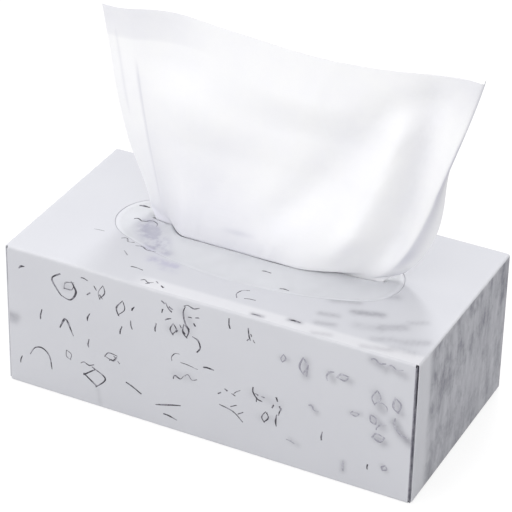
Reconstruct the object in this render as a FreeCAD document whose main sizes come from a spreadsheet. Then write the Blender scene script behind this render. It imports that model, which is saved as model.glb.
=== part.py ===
import FreeCAD, Part
import math
import os
import Sketcher
from FreeCAD import Placement, Rotation, Vector

# Flat paperboard tissue box with one two-ply tissue standing half way out of its slit.
# Millimetres. X runs along the long side, Y to the back, Z up; the origin is the middle of the
# carton's underside.

doc = FreeCAD.newDocument("tissue_box")
sheet = doc.addObject("Spreadsheet::Sheet", "Sizes")

# Driving dimensions
DRIVING = [
    # The carton, folded from one blank
    ("carton_length", 230.0),
    ("carton_depth", 116.0),
    ("carton_height", 82.0),
    ("board", 0.5),
    ("fold_radius", 1.2),
    ("end_fold_radius", 0.4),
    ("glue_gap", 0.15),
    ("flap_side_clear", 1.3),
    ("outer_flap_lift", 1.0),
    ("inner_flap_height", 58.0),
    ("dust_flap_reach", 46.0),
    ("dust_flap_lift", 3.0),
    ("crease_relief", 0.3),
    ("lap_height", 14.0),
    ("lap_end_clear", 6.0),
    ("seam_gap", 0.4),
    # The dispensing opening and the film under it
    ("opening_length", 160.0),
    ("opening_width", 68.0),
    ("opening_end_radius", 22.0),
    ("film_thickness", 0.08),
    ("film_margin", 11.0),
    ("slit_inset", 4.0),
    ("slit_spread", 13.0),
    ("slit_shift", 2.0),
    # The folded stack, as long as a tissue is wide
    ("stack_end_clear", 9.0),
    ("stack_side_clear", 3.5),
    ("stack_head_room", 3.9),
    ("stack_edge_radius", 2.5),
    ("layer_pitch", 4.2),
    ("layer_groove", 0.8),
    # The tissue that stands out of the slit. The spreads are shares: how wide its front panel is at
    # the foot beside the stretch of the slit that it fills, and at the free edge beside its own width
    ("tissue_rise", 120.0),
    ("tail_inset", 1.0),
    ("ply_thickness", 0.2),
    ("ply_spacing", 0.7),
    ("tail_clear", 0.3),
    ("tail_bend", 2.6),
    ("slit_end_clear", 8.0),
    ("slit_span_shift", 1.0),
    ("left_margin", 17.0),
    ("right_margin", 11.0),
    ("foot_spread", 0.86),
    ("foot_shift", 1.5),
    ("head_spread", 1.02),
    ("head_shift", 19.0),
    ("foot_bulge", 12.0),
]

for row, (alias, number) in enumerate(DRIVING, start=1):
    sheet.set("A%d" % row, alias)
    sheet.set("B%d" % row, repr(number))
    sheet.setAlias("B%d" % row, alias)
doc.recompute()

# Expressions that several pieces share
HALF_LENGTH = "(Sizes.carton_length / 2)"
HALF_DEPTH = "(Sizes.carton_depth / 2)"
LAYER = "(Sizes.board + Sizes.glue_gap)"
PANEL_END = "(%s - 2 * %s)" % (HALF_LENGTH, LAYER)
INNER_FLAP_END = "(%s - %s)" % (HALF_LENGTH, LAYER)
FLAP_SIDE = "(%s - Sizes.flap_side_clear)" % HALF_DEPTH
FILM_UNDER = "(Sizes.carton_height - Sizes.board - Sizes.film_thickness)"
STACK_TOP = "(%s - Sizes.stack_head_room)" % FILM_UNDER
SLIT_HALF = "(Sizes.opening_length / 2 - Sizes.slit_inset)"
SLIT_SAG = "(Sizes.slit_spread / 2)"
STACK_HALF_DEPTH = "(%s - Sizes.board - Sizes.stack_side_clear)" % HALF_DEPTH
TISSUE_WIDTH = "(Sizes.carton_length - 2 * Sizes.stack_end_clear)"


def size(text):
    """The value of an expression on the sheet's names."""
    return float(sheet.evalExpression(text))


def new_body(label):
    body = doc.addObject("PartDesign::Body", label)
    body.Label = label
    body.Placement = Placement(Vector(0, 0, 0), Rotation())
    return body


def origin_part(body, role):
    for feature in body.Origin.OriginFeatures:
        if feature.Role == role:
            return feature
    raise ValueError(role)


def new_sketch(body, name, plane, level="0"):
    """A sketch on one of the body's own planes, moved along its normal to the level."""
    sketch = body.newObject("Sketcher::SketchObject", name)
    sketch.AttachmentSupport = [(origin_part(body, plane), "")]
    sketch.MapMode = "FlatFace"
    sketch.setExpression("AttachmentOffset.Base.z", level)
    return sketch


def pin_point(sketch, geometry, end, across, up):
    """Ties a point's two distances from the sketch's origin to two expressions."""
    for kind, text in (("DistanceX", across), ("DistanceY", up)):
        number = size(text)
        if abs(number) < 1e-9:
            line = -2 if kind == "DistanceX" else -1
            sketch.addConstraint(Sketcher.Constraint("PointOnObject", geometry, end, line))
            continue
        if number > 0:
            ends = (-1, 1, geometry, end)
            formula = text
        else:
            ends = (geometry, end, -1, 1)
            formula = "-(%s)" % text
        index = sketch.addConstraint(Sketcher.Constraint(kind, *ends, abs(number)))
        sketch.setExpression("Constraints[%d]" % index, formula)


def add_loop(sketch, corners):
    """A closed outline of straight lines through corners given as expression pairs."""
    points = [Vector(size(across), size(up), 0) for across, up in corners]
    first = sketch.GeometryCount
    for index, point in enumerate(points):
        following = points[(index + 1) % len(points)]
        sketch.addGeometry(Part.LineSegment(point, following), False)
    for index in range(len(points)):
        following = first + (index + 1) % len(points)
        sketch.addConstraint(Sketcher.Constraint("Coincident", first + index, 2, following, 1))
    for index, (across, up) in enumerate(corners):
        pin_point(sketch, first + index, 1, across, up)


def add_rectangle(sketch, left, right, low, high):
    add_loop(sketch, [(left, low), (right, low), (right, high), (left, high)])


def pad(body, name, sketch, length, symmetric=False):
    feature = body.newObject("PartDesign::Pad", name)
    feature.Profile = sketch
    if symmetric:
        feature.SideType = "Symmetric"
    feature.setExpression("Length", length)
    return feature


def pocket(body, name, sketch, length=None, reverse=False):
    """Cuts the sketch out of the body, right through both ways where no length is given."""
    before = body.Shape.Volume
    feature = body.newObject("PartDesign::Pocket", name)
    feature.Profile = sketch
    if length is None:
        feature.SideType = "Symmetric"
        feature.Type = "ThroughAll"
    else:
        feature.Reversed = reverse
        feature.setExpression("Length", length)
    doc.recompute()
    if not body.Shape.Volume < before:
        raise RuntimeError("%s cuts nothing" % name)
    return feature


def edges_where(shape, test):
    """Names of the edges whose two ends and middle all pass the test."""
    names = []
    for index, edge in enumerate(shape.Edges, start=1):
        points = [vertex.Point for vertex in edge.Vertexes]
        points.append(edge.valueAt((edge.FirstParameter + edge.LastParameter) / 2))
        if all(test(point) for point in points):
            names.append("Edge%d" % index)
    return names


def round_edges(body, name, base, names, radius):
    feature = body.newObject("PartDesign::Fillet", name)
    feature.Base = (base, names)
    feature.setExpression("Radius", radius)
    doc.recompute()
    return feature


def near(number, target):
    return abs(number - target) < 1e-4


def oval_half_height(half_long, half_wide, end_radius):
    """How far the long arcs' centres lie beyond the middle of a four-arc oval."""
    long_leg = half_long - end_radius
    short_leg = half_wide - end_radius
    return (long_leg ** 2 - short_leg ** 2) / (2 * short_leg)


def build_carton():
    body = new_body("carton")

    # The sleeve of four panels, as long as the front panel between its end folds
    outline = new_sketch(body, "sleeve_outline", "YZ_Plane")
    add_rectangle(outline, "-" + HALF_DEPTH, HALF_DEPTH, "0", "Sizes.carton_height")
    block = pad(body, "sleeve_block", outline, "2 * " + PANEL_END, symmetric=True)
    doc.recompute()
    half_depth = size(HALF_DEPTH)
    height = size("Sizes.carton_height")
    folds = edges_where(
        block.Shape,
        lambda p: near(abs(p.y), half_depth) and (near(p.z, 0) or near(p.z, height)),
    )
    round_edges(body, "long_folds", block, folds, "Sizes.fold_radius")

    inside = new_sketch(body, "sleeve_inside", "YZ_Plane")
    wall = "(%s - Sizes.board)" % HALF_DEPTH
    add_rectangle(inside, "-" + wall, wall, "Sizes.board", "Sizes.carton_height - Sizes.board")
    hollow = pocket(body, "sleeve_hollow", inside)
    inner_y = size(wall)
    inner_low = size("Sizes.board")
    inner_high = size("Sizes.carton_height - Sizes.board")
    inner_folds = edges_where(
        hollow.Shape,
        lambda p: near(abs(p.y), inner_y) and (near(p.z, inner_low) or near(p.z, inner_high)),
    )
    round_edges(body, "inner_folds", hollow, inner_folds, "Sizes.fold_radius - Sizes.board")

    # The fold between each long panel and its dust flap is worn a little off square
    relief = new_sketch(body, "end_crease_outline", "XY_Plane")
    for along in ("", "-"):
        for across in ("", "-"):
            end = "%s%s" % (along, PANEL_END)
            side = "%s%s" % (across, HALF_DEPTH)
            end_in = "%s(%s - Sizes.crease_relief)" % (along, PANEL_END)
            side_in = "%s(%s - Sizes.crease_relief)" % (across, HALF_DEPTH)
            add_loop(relief, [(end_in, side), (end, side), (end, side_in)])
    pocket(body, "end_creases", relief)

    # The top panel runs on past the sleeve to the outer flap's fold, and the flap hangs from it
    top_run = new_sketch(body, "top_run_outline", "XY_Plane", "Sizes.carton_height - Sizes.board")
    add_rectangle(top_run, "%s - Sizes.fold_radius" % PANEL_END, HALF_LENGTH, "-" + FLAP_SIDE, FLAP_SIDE)
    top_run_pad = pad(body, "top_run", top_run, "Sizes.board")
    outer_flap = new_sketch(body, "outer_flap_outline", "YZ_Plane", "%s - Sizes.board" % HALF_LENGTH)
    add_rectangle(outer_flap, "-" + FLAP_SIDE, FLAP_SIDE, "Sizes.outer_flap_lift", "Sizes.carton_height")
    outer_pad = pad(body, "outer_flap", outer_flap, "Sizes.board")

    # The bottom panel runs on to the inner flap, which stands up behind the outer one
    low_run = new_sketch(body, "bottom_run_outline", "XY_Plane")
    add_rectangle(low_run, "%s - Sizes.fold_radius" % PANEL_END, INNER_FLAP_END, "-" + FLAP_SIDE, FLAP_SIDE)
    low_run_pad = pad(body, "bottom_run", low_run, "Sizes.board")
    inner_flap = new_sketch(body, "inner_flap_outline", "YZ_Plane", "%s - Sizes.board" % INNER_FLAP_END)
    add_rectangle(inner_flap, "-" + FLAP_SIDE, FLAP_SIDE, "0", "Sizes.inner_flap_height")
    inner_pad = pad(body, "inner_flap", inner_flap, "Sizes.board")

    # Two dust flaps, folded in from the front and the back panel
    dust_flaps = new_sketch(body, "dust_flap_outline", "YZ_Plane", "%s - Sizes.board" % PANEL_END)
    dust_top = "Sizes.carton_height - Sizes.dust_flap_lift"
    hinge = "(%s - Sizes.board)" % HALF_DEPTH
    free = "(%s - Sizes.dust_flap_reach)" % HALF_DEPTH
    add_rectangle(dust_flaps, "-" + hinge, "-" + free, "Sizes.dust_flap_lift", dust_top)
    add_rectangle(dust_flaps, free, hinge, "Sizes.dust_flap_lift", dust_top)
    dust_pad = pad(body, "dust_flaps", dust_flaps, "Sizes.board")
    doc.recompute()

    other_end = body.newObject("PartDesign::Mirrored", "other_end")
    other_end.Originals = [top_run_pad, outer_pad, low_run_pad, inner_pad, dust_pad]
    other_end.MirrorPlane = (origin_part(body, "YZ_Plane"), [""])
    body.Tip = other_end
    doc.recompute()

    # Rounded folds where the outer flaps turn down and the inner flaps turn up
    half_length = size(HALF_LENGTH)
    inner_end = size(INNER_FLAP_END)
    end_folds = edges_where(
        other_end.Shape,
        lambda p: (near(abs(p.x), half_length) and near(p.z, height))
        or (near(abs(p.x), inner_end) and near(p.z, 0)),
    )
    round_edges(body, "end_folds", other_end, end_folds, "Sizes.end_fold_radius")

    # The glue lap stands inside the back panel, whose own lower edge ends just above the fold
    lap = new_sketch(body, "lap_outline", "YZ_Plane")
    lap_outer = "(%s - Sizes.board - Sizes.glue_gap)" % HALF_DEPTH
    lap_inner = "(%s - Sizes.board)" % lap_outer
    add_rectangle(lap, lap_inner, lap_outer, "Sizes.board / 2", "Sizes.lap_height")
    pad(body, "glue_lap", lap, "2 * (%s - Sizes.lap_end_clear)" % PANEL_END, symmetric=True)
    doc.recompute()
    seam = new_sketch(body, "seam_outline", "YZ_Plane")
    seam_high = "Sizes.fold_radius + Sizes.seam_gap"
    add_rectangle(seam, lap_outer, "%s + Sizes.board" % HALF_DEPTH, "Sizes.fold_radius", seam_high)
    pocket(body, "seam", seam)

    # The dispensing opening, an oval of four arcs
    add_opening(body)
    return body


def add_opening(body):
    half_long = size("Sizes.opening_length / 2")
    half_wide = size("Sizes.opening_width / 2")
    radius = size("Sizes.opening_end_radius")
    beyond = oval_half_height(half_long, half_wide, radius)
    long_radius = half_wide + beyond
    turn = math.atan2(beyond, half_long - radius)
    axis = Vector(0, 0, 1)
    sketch = new_sketch(body, "opening_outline", "XY_Plane", "Sizes.carton_height")
    right_end = Part.Circle(Vector(half_long - radius, 0, 0), axis, radius)
    left_end = Part.Circle(Vector(radius - half_long, 0, 0), axis, radius)
    rear_side = Part.Circle(Vector(0, -beyond, 0), axis, long_radius)
    front_side = Part.Circle(Vector(0, beyond, 0), axis, long_radius)
    sketch.addGeometry(Part.ArcOfCircle(right_end, -turn, turn), False)
    sketch.addGeometry(Part.ArcOfCircle(rear_side, turn, math.pi - turn), False)
    sketch.addGeometry(Part.ArcOfCircle(left_end, math.pi - turn, math.pi + turn), False)
    sketch.addGeometry(Part.ArcOfCircle(front_side, math.pi + turn, 2 * math.pi - turn), False)
    for index in range(4):
        sketch.addConstraint(Sketcher.Constraint("Tangent", index, 2, (index + 1) % 4, 1))
    centre_y = "0"
    centre_x = "Sizes.opening_length / 2 - Sizes.opening_end_radius"
    pin_point(sketch, 0, 3, centre_x, centre_y)
    pin_point(sketch, 2, 3, "-(%s)" % centre_x, centre_y)
    for index in (0, 2):
        end = sketch.addConstraint(Sketcher.Constraint("Radius", index, radius))
        sketch.setExpression("Constraints[%d]" % end, "Sizes.opening_end_radius")
    leg = "(Sizes.opening_length / 2 - Sizes.opening_end_radius)"
    rest = "(Sizes.opening_width / 2 - Sizes.opening_end_radius)"
    side_radius = "Sizes.opening_width / 2 + (%s ^ 2 - %s ^ 2) / (2 * %s)" % (leg, rest, rest)
    for index in (1, 3):
        side = sketch.addConstraint(Sketcher.Constraint("Radius", index, long_radius))
        sketch.setExpression("Constraints[%d]" % side, side_radius)
    pocket(body, "opening", sketch, "2 * Sizes.board")


def build_film():
    body = new_body("slot_film")
    sketch = new_sketch(body, "film_outline", "XY_Plane", FILM_UNDER)
    film_x = "(Sizes.opening_length / 2 + Sizes.film_margin)"
    film_y = "(Sizes.opening_width / 2 + Sizes.film_margin)"
    add_rectangle(sketch, "-" + film_x, film_x, "-" + film_y, film_y)

    # The slit stands open as two shallow arcs that meet in a point at each end
    half = size(SLIT_HALF)
    sag = size(SLIT_SAG)
    middle = size("Sizes.slit_shift")
    rear = Part.Arc(Vector(half, middle, 0), Vector(0, middle + sag, 0), Vector(-half, middle, 0))
    front = Part.Arc(Vector(-half, middle, 0), Vector(0, middle - sag, 0), Vector(half, middle, 0))
    lips = [sketch.addGeometry(arc, False) for arc in (rear, front)]
    sketch.addConstraint(Sketcher.Constraint("Coincident", lips[0], 2, lips[1], 1))
    sketch.addConstraint(Sketcher.Constraint("Coincident", lips[1], 2, lips[0], 1))
    pin_point(sketch, lips[0], 1, SLIT_HALF, "Sizes.slit_shift")
    pin_point(sketch, lips[0], 2, "-" + SLIT_HALF, "Sizes.slit_shift")
    lip_radius = "(%s ^ 2 + %s ^ 2) / (2 * %s)" % (SLIT_HALF, SLIT_SAG, SLIT_SAG)
    for lip in lips:
        index = sketch.addConstraint(Sketcher.Constraint("Radius", lip, size(lip_radius)))
        sketch.setExpression("Constraints[%d]" % index, lip_radius)
    pad(body, "film", sketch, "Sizes.film_thickness")
    return body


def build_stack():
    body = new_body("tissue_stack")
    outline = new_sketch(body, "stack_outline", "YZ_Plane")
    add_rectangle(outline, "-" + STACK_HALF_DEPTH, STACK_HALF_DEPTH, "Sizes.board", STACK_TOP)
    block = pad(body, "stack_block", outline, TISSUE_WIDTH, symmetric=True)
    doc.recompute()
    side = size(STACK_HALF_DEPTH)
    low = size("Sizes.board")
    high = size(STACK_TOP)
    long_edges = edges_where(
        block.Shape,
        lambda p: near(abs(p.y), side) and (near(p.z, low) or near(p.z, high)),
    )
    round_edges(body, "stack_folds", block, long_edges, "Sizes.stack_edge_radius")

    # Grooves between the folded layers, up the front and the back of the stack
    groove = new_sketch(body, "layer_outline", "YZ_Plane")
    first = "(Sizes.board + Sizes.stack_edge_radius + Sizes.layer_pitch / 2)"
    for across in ("", "-"):
        mouth = "%s(%s + Sizes.layer_groove)" % (across, STACK_HALF_DEPTH)
        root = "%s(%s - Sizes.layer_groove)" % (across, STACK_HALF_DEPTH)
        low_lip = "%s - Sizes.layer_groove" % first
        high_lip = "%s + Sizes.layer_groove" % first
        add_loop(groove, [(mouth, low_lip), (root, first), (mouth, high_lip)])
    cut = pocket(body, "layer_grooves", groove)
    layers = body.newObject("PartDesign::LinearPattern", "layers")
    layers.Originals = [cut]
    layers.Direction = (origin_part(body, "Z_Axis"), [""])
    run = "(%s - Sizes.board - 2 * Sizes.stack_edge_radius)" % STACK_TOP
    count = "floor(%s / Sizes.layer_pitch)" % run
    layers.setExpression("Occurrences", count)
    layers.setExpression("Length", "(%s - 1) * Sizes.layer_pitch" % count)
    body.Tip = layers
    return body


# Folds of the standing tissue. Each has its place at the foot and at the free edge (shares of the
# front panel's width), how that place bends on the way up, its depth (to the back is positive), its
# half width (a share too), and the shares of the rise between which it shows
FOLDS = [
    # The deep valley at the right, with the diagonal ridge and the soft valley left of it
    {"foot": 0.95, "head": 0.87, "bend": 1.0, "depth": 6.0, "wide": 0.040, "low": 0.02, "high": 1.02},
    {"foot": 0.78, "head": 0.86, "bend": 0.8, "depth": -6.0, "wide": 0.055, "low": 0.05, "high": 0.90},
    {"foot": 0.42, "head": 0.86, "bend": 0.9, "depth": 4.0, "wide": 0.075, "low": 0.08, "high": 0.95},
    # A shallow hollow low on the left
    {"foot": 0.30, "head": 0.26, "bend": 1.0, "depth": 2.5, "wide": 0.200, "low": 0.10, "high": 0.60},
    # Two slow waves of the free edge
    {"foot": 0.14, "head": 0.14, "bend": 1.0, "depth": 3.5, "wide": 0.100, "low": 0.60, "high": 1.50},
    {"foot": 0.57, "head": 0.57, "bend": 1.0, "depth": -6.0, "wide": 0.200, "low": 0.60, "high": 1.50},
]
FOLD_FADE = 0.2

# How the front panel lies: the share of its width over which its foot swings forward from the left
# margin, where and how far it swings back at the right, and the heights between which the foot's
# bulge, the upright middle and the free edge change over
LIE = {
    "edge_back": 3.5,
    "swing": 0.17,
    "return_from": 0.66,
    "return_share": 0.85,
    "middle_forward": 3.5,
    "middle_return_from": 0.85,
    "middle_from": 0.03,
    "middle_by": 0.45,
    "head_from": 0.45,
    "corner_back": 8.0,
    "corner_from": 0.72,
}

# The margins turned back at both sides: how far each is turned, in degrees, low down and high up,
# the heights of the change, and how much of its width the left one shows at the foot
LEFT_TURN = {"low": 28, "high": 12, "from": 0.0, "by": 0.7}
RIGHT_TURN = {"low": 42, "high": 108, "from": 0.15, "by": 0.65}
LEFT_FOOT_SHARE = 0.6
LEFT_FULL_BY = 0.35

# The two side lines of the front panel bow outwards on the way up
LEFT_BOW = 1.1
RIGHT_BOW = 0.53

# The free edge hangs a little at each corner: how far, and over what share of the width
LEFT_CORNER = {"drop": 5.0, "wide": 0.10}
RIGHT_CORNER = {"drop": 6.0, "wide": 0.05}

# Facets: points across the tissue, and rows above the slit as shares of the rise
COLUMNS = 34
RISE_ROWS = (0.015, 0.035, 0.07, 0.13, 0.21, 0.31, 0.43, 0.56, 0.70, 0.85, 1.0)
TAIL_ROWS = (1.0, 0.6, 0.3, 0.1)
BEND_ROWS = (0.75, 0.5, 0.25, 0.0)
SLIT_RISE = 0.03


def ease(share):
    """0 below 0, 1 above 1 and a smooth step between."""
    share = min(max(share, 0.0), 1.0)
    return share * share * (3 - 2 * share)


def ease_from(start, end, number):
    return ease((number - start) / (end - start))


def between(start, end, share):
    return start + (end - start) * share


def hump(share):
    return math.exp(-share * share)


def sizes_now():
    """Every driving dimension as the sheet holds it, and the tissue's places that follow from them."""
    dim = {alias: size("Sizes." + alias) for alias, number in DRIVING}
    dim["tissue_width"] = size(TISSUE_WIDTH)
    dim["slit_span"] = 2 * (size(SLIT_HALF) - dim["slit_end_clear"])
    dim["tail_level"] = size(STACK_TOP) + dim["tail_clear"] + dim["ply_thickness"] / 2
    dim["tail_end"] = size(STACK_HALF_DEPTH) - dim["tail_inset"]
    dim["tail_length"] = dim["tail_end"] - dim["slit_shift"] - dim["tail_bend"]
    dim["drop"] = dim["carton_height"] - dim["tail_level"] - dim["tail_bend"]
    return dim


def panel_depth(dim, share, height):
    """Y of the tissue's front panel at a share of its width and a share of its rise."""
    back = LIE["edge_back"]
    swing = ease(share / LIE["swing"]) * (1 - LIE["return_share"] * ease_from(LIE["return_from"], 1, share))
    foot = back - (back + dim["foot_bulge"]) * swing
    upright = ease(share / LIE["swing"]) * (1 - ease_from(LIE["middle_return_from"], 1, share))
    middle = -LIE["middle_forward"] * upright
    head = LIE["corner_back"] * ease_from(LIE["corner_from"], 1, share)
    depth = between(foot, middle, ease_from(LIE["middle_from"], LIE["middle_by"], height))
    depth = between(depth, head, ease_from(LIE["head_from"], 1, height))
    for fold in FOLDS:
        place = between(fold["foot"], fold["head"], height ** fold["bend"])
        risen = ease_from(fold["low"], fold["low"] + FOLD_FADE, height)
        fallen = ease_from(fold["high"] - FOLD_FADE, fold["high"], height)
        depth += fold["depth"] * risen * (1 - fallen) * hump((share - place) / fold["wide"])
    return depth


def turned_back(dim, share, side, height):
    """How far a margin reaches sideways and back, at a share of its own width."""
    if side == "left":
        turn = LEFT_TURN
        width = dim["left_margin"] * between(LEFT_FOOT_SHARE, 1, ease(height / LEFT_FULL_BY))
    else:
        turn = RIGHT_TURN
        width = dim["right_margin"]
    angle = math.radians(between(turn["low"], turn["high"], ease_from(turn["from"], turn["by"], height)))
    return width * share * math.cos(angle), width * share * math.sin(angle)


def slit_place(dim, share):
    """Where the tissue passes the slit, close behind its front lip."""
    room = dim["ply_spacing"] + dim["ply_thickness"] + dim["tail_clear"]
    sag = dim["slit_spread"] / 2 - room
    across = (share - 0.5) * dim["slit_span"] + dim["slit_span_shift"]
    return across, dim["slit_shift"] - sag * (1 - (2 * share - 1) ** 2)


def standing_place(dim, share, height):
    """A point of the tissue above the slit: a front panel with a margin turned back at each side."""
    panel_start = dim["left_margin"] / dim["tissue_width"]
    panel_end = 1 - dim["right_margin"] / dim["tissue_width"]
    foot_half = dim["slit_span"] * dim["foot_spread"] / 2
    head_half = (dim["tissue_width"] - dim["left_margin"] - dim["right_margin"]) * dim["head_spread"] / 2
    left = between(dim["foot_shift"] - foot_half, dim["head_shift"] - head_half, height ** LEFT_BOW)
    right = between(dim["foot_shift"] + foot_half, dim["head_shift"] + head_half, height ** RIGHT_BOW)
    if share < panel_start:
        sideways, back = turned_back(dim, 1 - share / panel_start, "left", height)
        across = left - sideways
        back += panel_depth(dim, 0, height)
    elif share > panel_end:
        sideways, back = turned_back(dim, (share - panel_end) / (1 - panel_end), "right", height)
        across = right + sideways
        back += panel_depth(dim, 1, height)
    else:
        panel_share = (share - panel_start) / (panel_end - panel_start)
        across = between(left, right, panel_share)
        back = panel_depth(dim, panel_share, height)
    slit_across, slit_back = slit_place(dim, share)
    risen = ease(height / SLIT_RISE)
    drop = LEFT_CORNER["drop"] * hump(share / LEFT_CORNER["wide"])
    drop += RIGHT_CORNER["drop"] * hump((1 - share) / RIGHT_CORNER["wide"])
    up = dim["carton_height"] + height * (dim["tissue_rise"] - drop)
    return Vector(between(slit_across, across, risen), between(slit_back, back, risen), up)


def inside_place(dim, share, run):
    """A point of the tissue below the slit: down, round a bend and flat on the stack."""
    low = dim["tail_level"]
    across, back = slit_place(dim, share)
    bend = dim["tail_bend"]
    arc = bend * math.pi / 2
    if run < dim["drop"]:
        return Vector(across, back, dim["carton_height"] - run)
    if run < dim["drop"] + arc:
        turned = (run - dim["drop"]) / bend
        return Vector(across, back + bend * (1 - math.cos(turned)), low + bend * (1 - math.sin(turned)))
    along = (run - dim["drop"] - arc) / dim["tail_length"]
    widened = between(across, (share - 0.5) * dim["tissue_width"], ease(along))
    return Vector(widened, between(back + bend, dim["tail_end"], along), low)


def tissue_rows(dim):
    """Runs below the slit, from the hidden edge up, then shares of the rise."""
    arc = dim["tail_bend"] * math.pi / 2
    inside = [dim["drop"] + arc + dim["tail_length"] * share for share in TAIL_ROWS]
    inside += [dim["drop"] + arc * share for share in BEND_ROWS]
    inside.append(0.0)
    return [("inside", run) for run in inside] + [("standing", share) for share in RISE_ROWS]


def tissue_place(dim, share, row):
    part, along = row
    if part == "inside":
        return inside_place(dim, share, along)
    return standing_place(dim, share, along)


def tissue_grid(dim, setback):
    """One line of control points for each row, moved back by a distance square to the tissue."""
    shares = [column / (COLUMNS - 1) for column in range(COLUMNS)]
    middle = [[tissue_place(dim, share, row) for share in shares] for row in tissue_rows(dim)]
    last_row = len(middle) - 1
    last_column = COLUMNS - 1
    grid = []
    for j in range(last_row + 1):
        line = []
        for i in range(COLUMNS):
            across = middle[j][min(i + 1, last_column)] - middle[j][max(i - 1, 0)]
            along = middle[min(j + 1, last_row)][i] - middle[max(j - 1, 0)][i]
            front = across.cross(along).normalize()
            line.append(middle[j][i] - front * setback)
        grid.append(line)
    return grid


def strip_faces(first, second):
    """Flat triangles between two lines of as many points."""
    faces = []
    for index in range(len(first) - 1):
        a, b = first[index], first[index + 1]
        c, d = second[index + 1], second[index]
        faces.append(Part.Face(Part.makePolygon([a, b, c, a])))
        faces.append(Part.Face(Part.makePolygon([a, c, d, a])))
    return faces


def build_ply(label, setback):
    """One ply: a closed shell of small flat facets, two sheets one thickness apart and their rims."""
    dim = sizes_now()
    half = dim["ply_thickness"] / 2
    front = tissue_grid(dim, setback - half)
    rear = tissue_grid(dim, setback + half)
    faces = []
    for rows in (front, rear):
        for first, second in zip(rows, rows[1:]):
            faces += strip_faces(first, second)
    for end in (0, -1):
        faces += strip_faces(front[end], rear[end])
        faces += strip_faces([row[end] for row in front], [row[end] for row in rear])
    shell = Part.makeShell(faces)
    shell.sewShape()
    solid = Part.makeSolid(shell)
    if solid.Volume < 0:
        solid.reverse()
    feature = doc.addObject("Part::Feature", label)
    feature.Label = label
    feature.Shape = solid
    feature.Placement = Placement(Vector(0, 0, 0), Rotation())
    return feature


pieces = [
    build_carton(),
    build_film(),
    build_stack(),
    build_ply("tissue_front_ply", 0.0),
    build_ply("tissue_rear_ply", size("Sizes.ply_spacing")),
]
doc.recompute()

for item in doc.Objects:
    if "Invalid" in item.State or "Error" in item.State:
        raise RuntimeError("%s failed: %s" % (item.Name, item.State))
for piece in pieces:
    if piece.Shape.isNull() or not piece.Shape.isValid() or piece.Shape.Volume <= 0:
        raise RuntimeError("%s has no valid solid" % piece.Label)

os.makedirs("parts", exist_ok=True)
for piece in pieces:
    piece.Shape.exportStep(os.path.join("parts", piece.Label + ".step"))
    print(piece.Label, len(piece.Shape.Solids), round(piece.Shape.Volume, 1), piece.Shape.BoundBox)
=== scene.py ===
import math
import random

import bmesh
import bpy
import numpy as np
from mathutils import Matrix, Vector
from mathutils.bvhtree import BVHTree


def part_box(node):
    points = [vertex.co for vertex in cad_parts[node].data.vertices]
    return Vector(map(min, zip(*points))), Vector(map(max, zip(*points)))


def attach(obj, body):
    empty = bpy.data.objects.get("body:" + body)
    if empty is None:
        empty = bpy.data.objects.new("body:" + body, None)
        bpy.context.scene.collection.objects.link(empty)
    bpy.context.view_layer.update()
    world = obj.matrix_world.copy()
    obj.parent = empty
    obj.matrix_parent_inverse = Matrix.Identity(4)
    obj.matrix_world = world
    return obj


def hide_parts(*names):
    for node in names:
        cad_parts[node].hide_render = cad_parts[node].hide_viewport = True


# A flat paperboard tissue box with one two-ply tissue drawn half way out of its slit.
# Places are worked out in millimetres and turned to metres where a mesh is made.

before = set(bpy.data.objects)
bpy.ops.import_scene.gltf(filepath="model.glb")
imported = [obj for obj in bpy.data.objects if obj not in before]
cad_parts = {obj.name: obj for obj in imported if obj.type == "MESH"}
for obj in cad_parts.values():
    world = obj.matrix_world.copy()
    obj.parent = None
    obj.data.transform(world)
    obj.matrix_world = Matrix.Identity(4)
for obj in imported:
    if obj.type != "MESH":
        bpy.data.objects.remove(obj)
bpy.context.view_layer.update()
mm = 0.001
print("stage 1: frame loaded, nodes", sorted(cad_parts))


def addObject(name, data):
    made = bpy.data.objects.new(name, data)
    bpy.context.scene.collection.objects.link(made)
    return made


# Camera

view = {
    "lens": 175.1,
    "sensor": 36,
    "azimuth": 26.17,      # degrees round from straight in front, towards the right end
    "elevation": 31.63,
    "roll": 1.25,
    "distance": 1.4163,
    "aim": (-0.0566, 0.1134, 0.0),
    "nearest": 0.05,
}


def makeCamera():
    azimuth = math.radians(view["azimuth"])
    elevation = math.radians(view["elevation"])
    roll = math.radians(view["roll"])
    level = math.cos(elevation)
    back = Vector((math.sin(azimuth) * level, -math.cos(azimuth) * level, math.sin(elevation)))
    side = Vector((0, 0, 1)).cross(back).normalized()
    rise = back.cross(side)
    right = side * math.cos(roll) + rise * math.sin(roll)
    up = rise * math.cos(roll) - side * math.sin(roll)
    camera = addObject("camera", bpy.data.cameras.new("camera"))
    camera.data.lens = view["lens"]
    camera.data.sensor_width = view["sensor"]
    camera.data.clip_start = view["nearest"]
    place = Vector(view["aim"]) + back * view["distance"]
    camera.matrix_world = Matrix.Translation(place) @ Matrix((right, up, back)).transposed().to_4x4()
    bpy.context.scene.camera = camera


makeCamera()


# Shader maths

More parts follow.
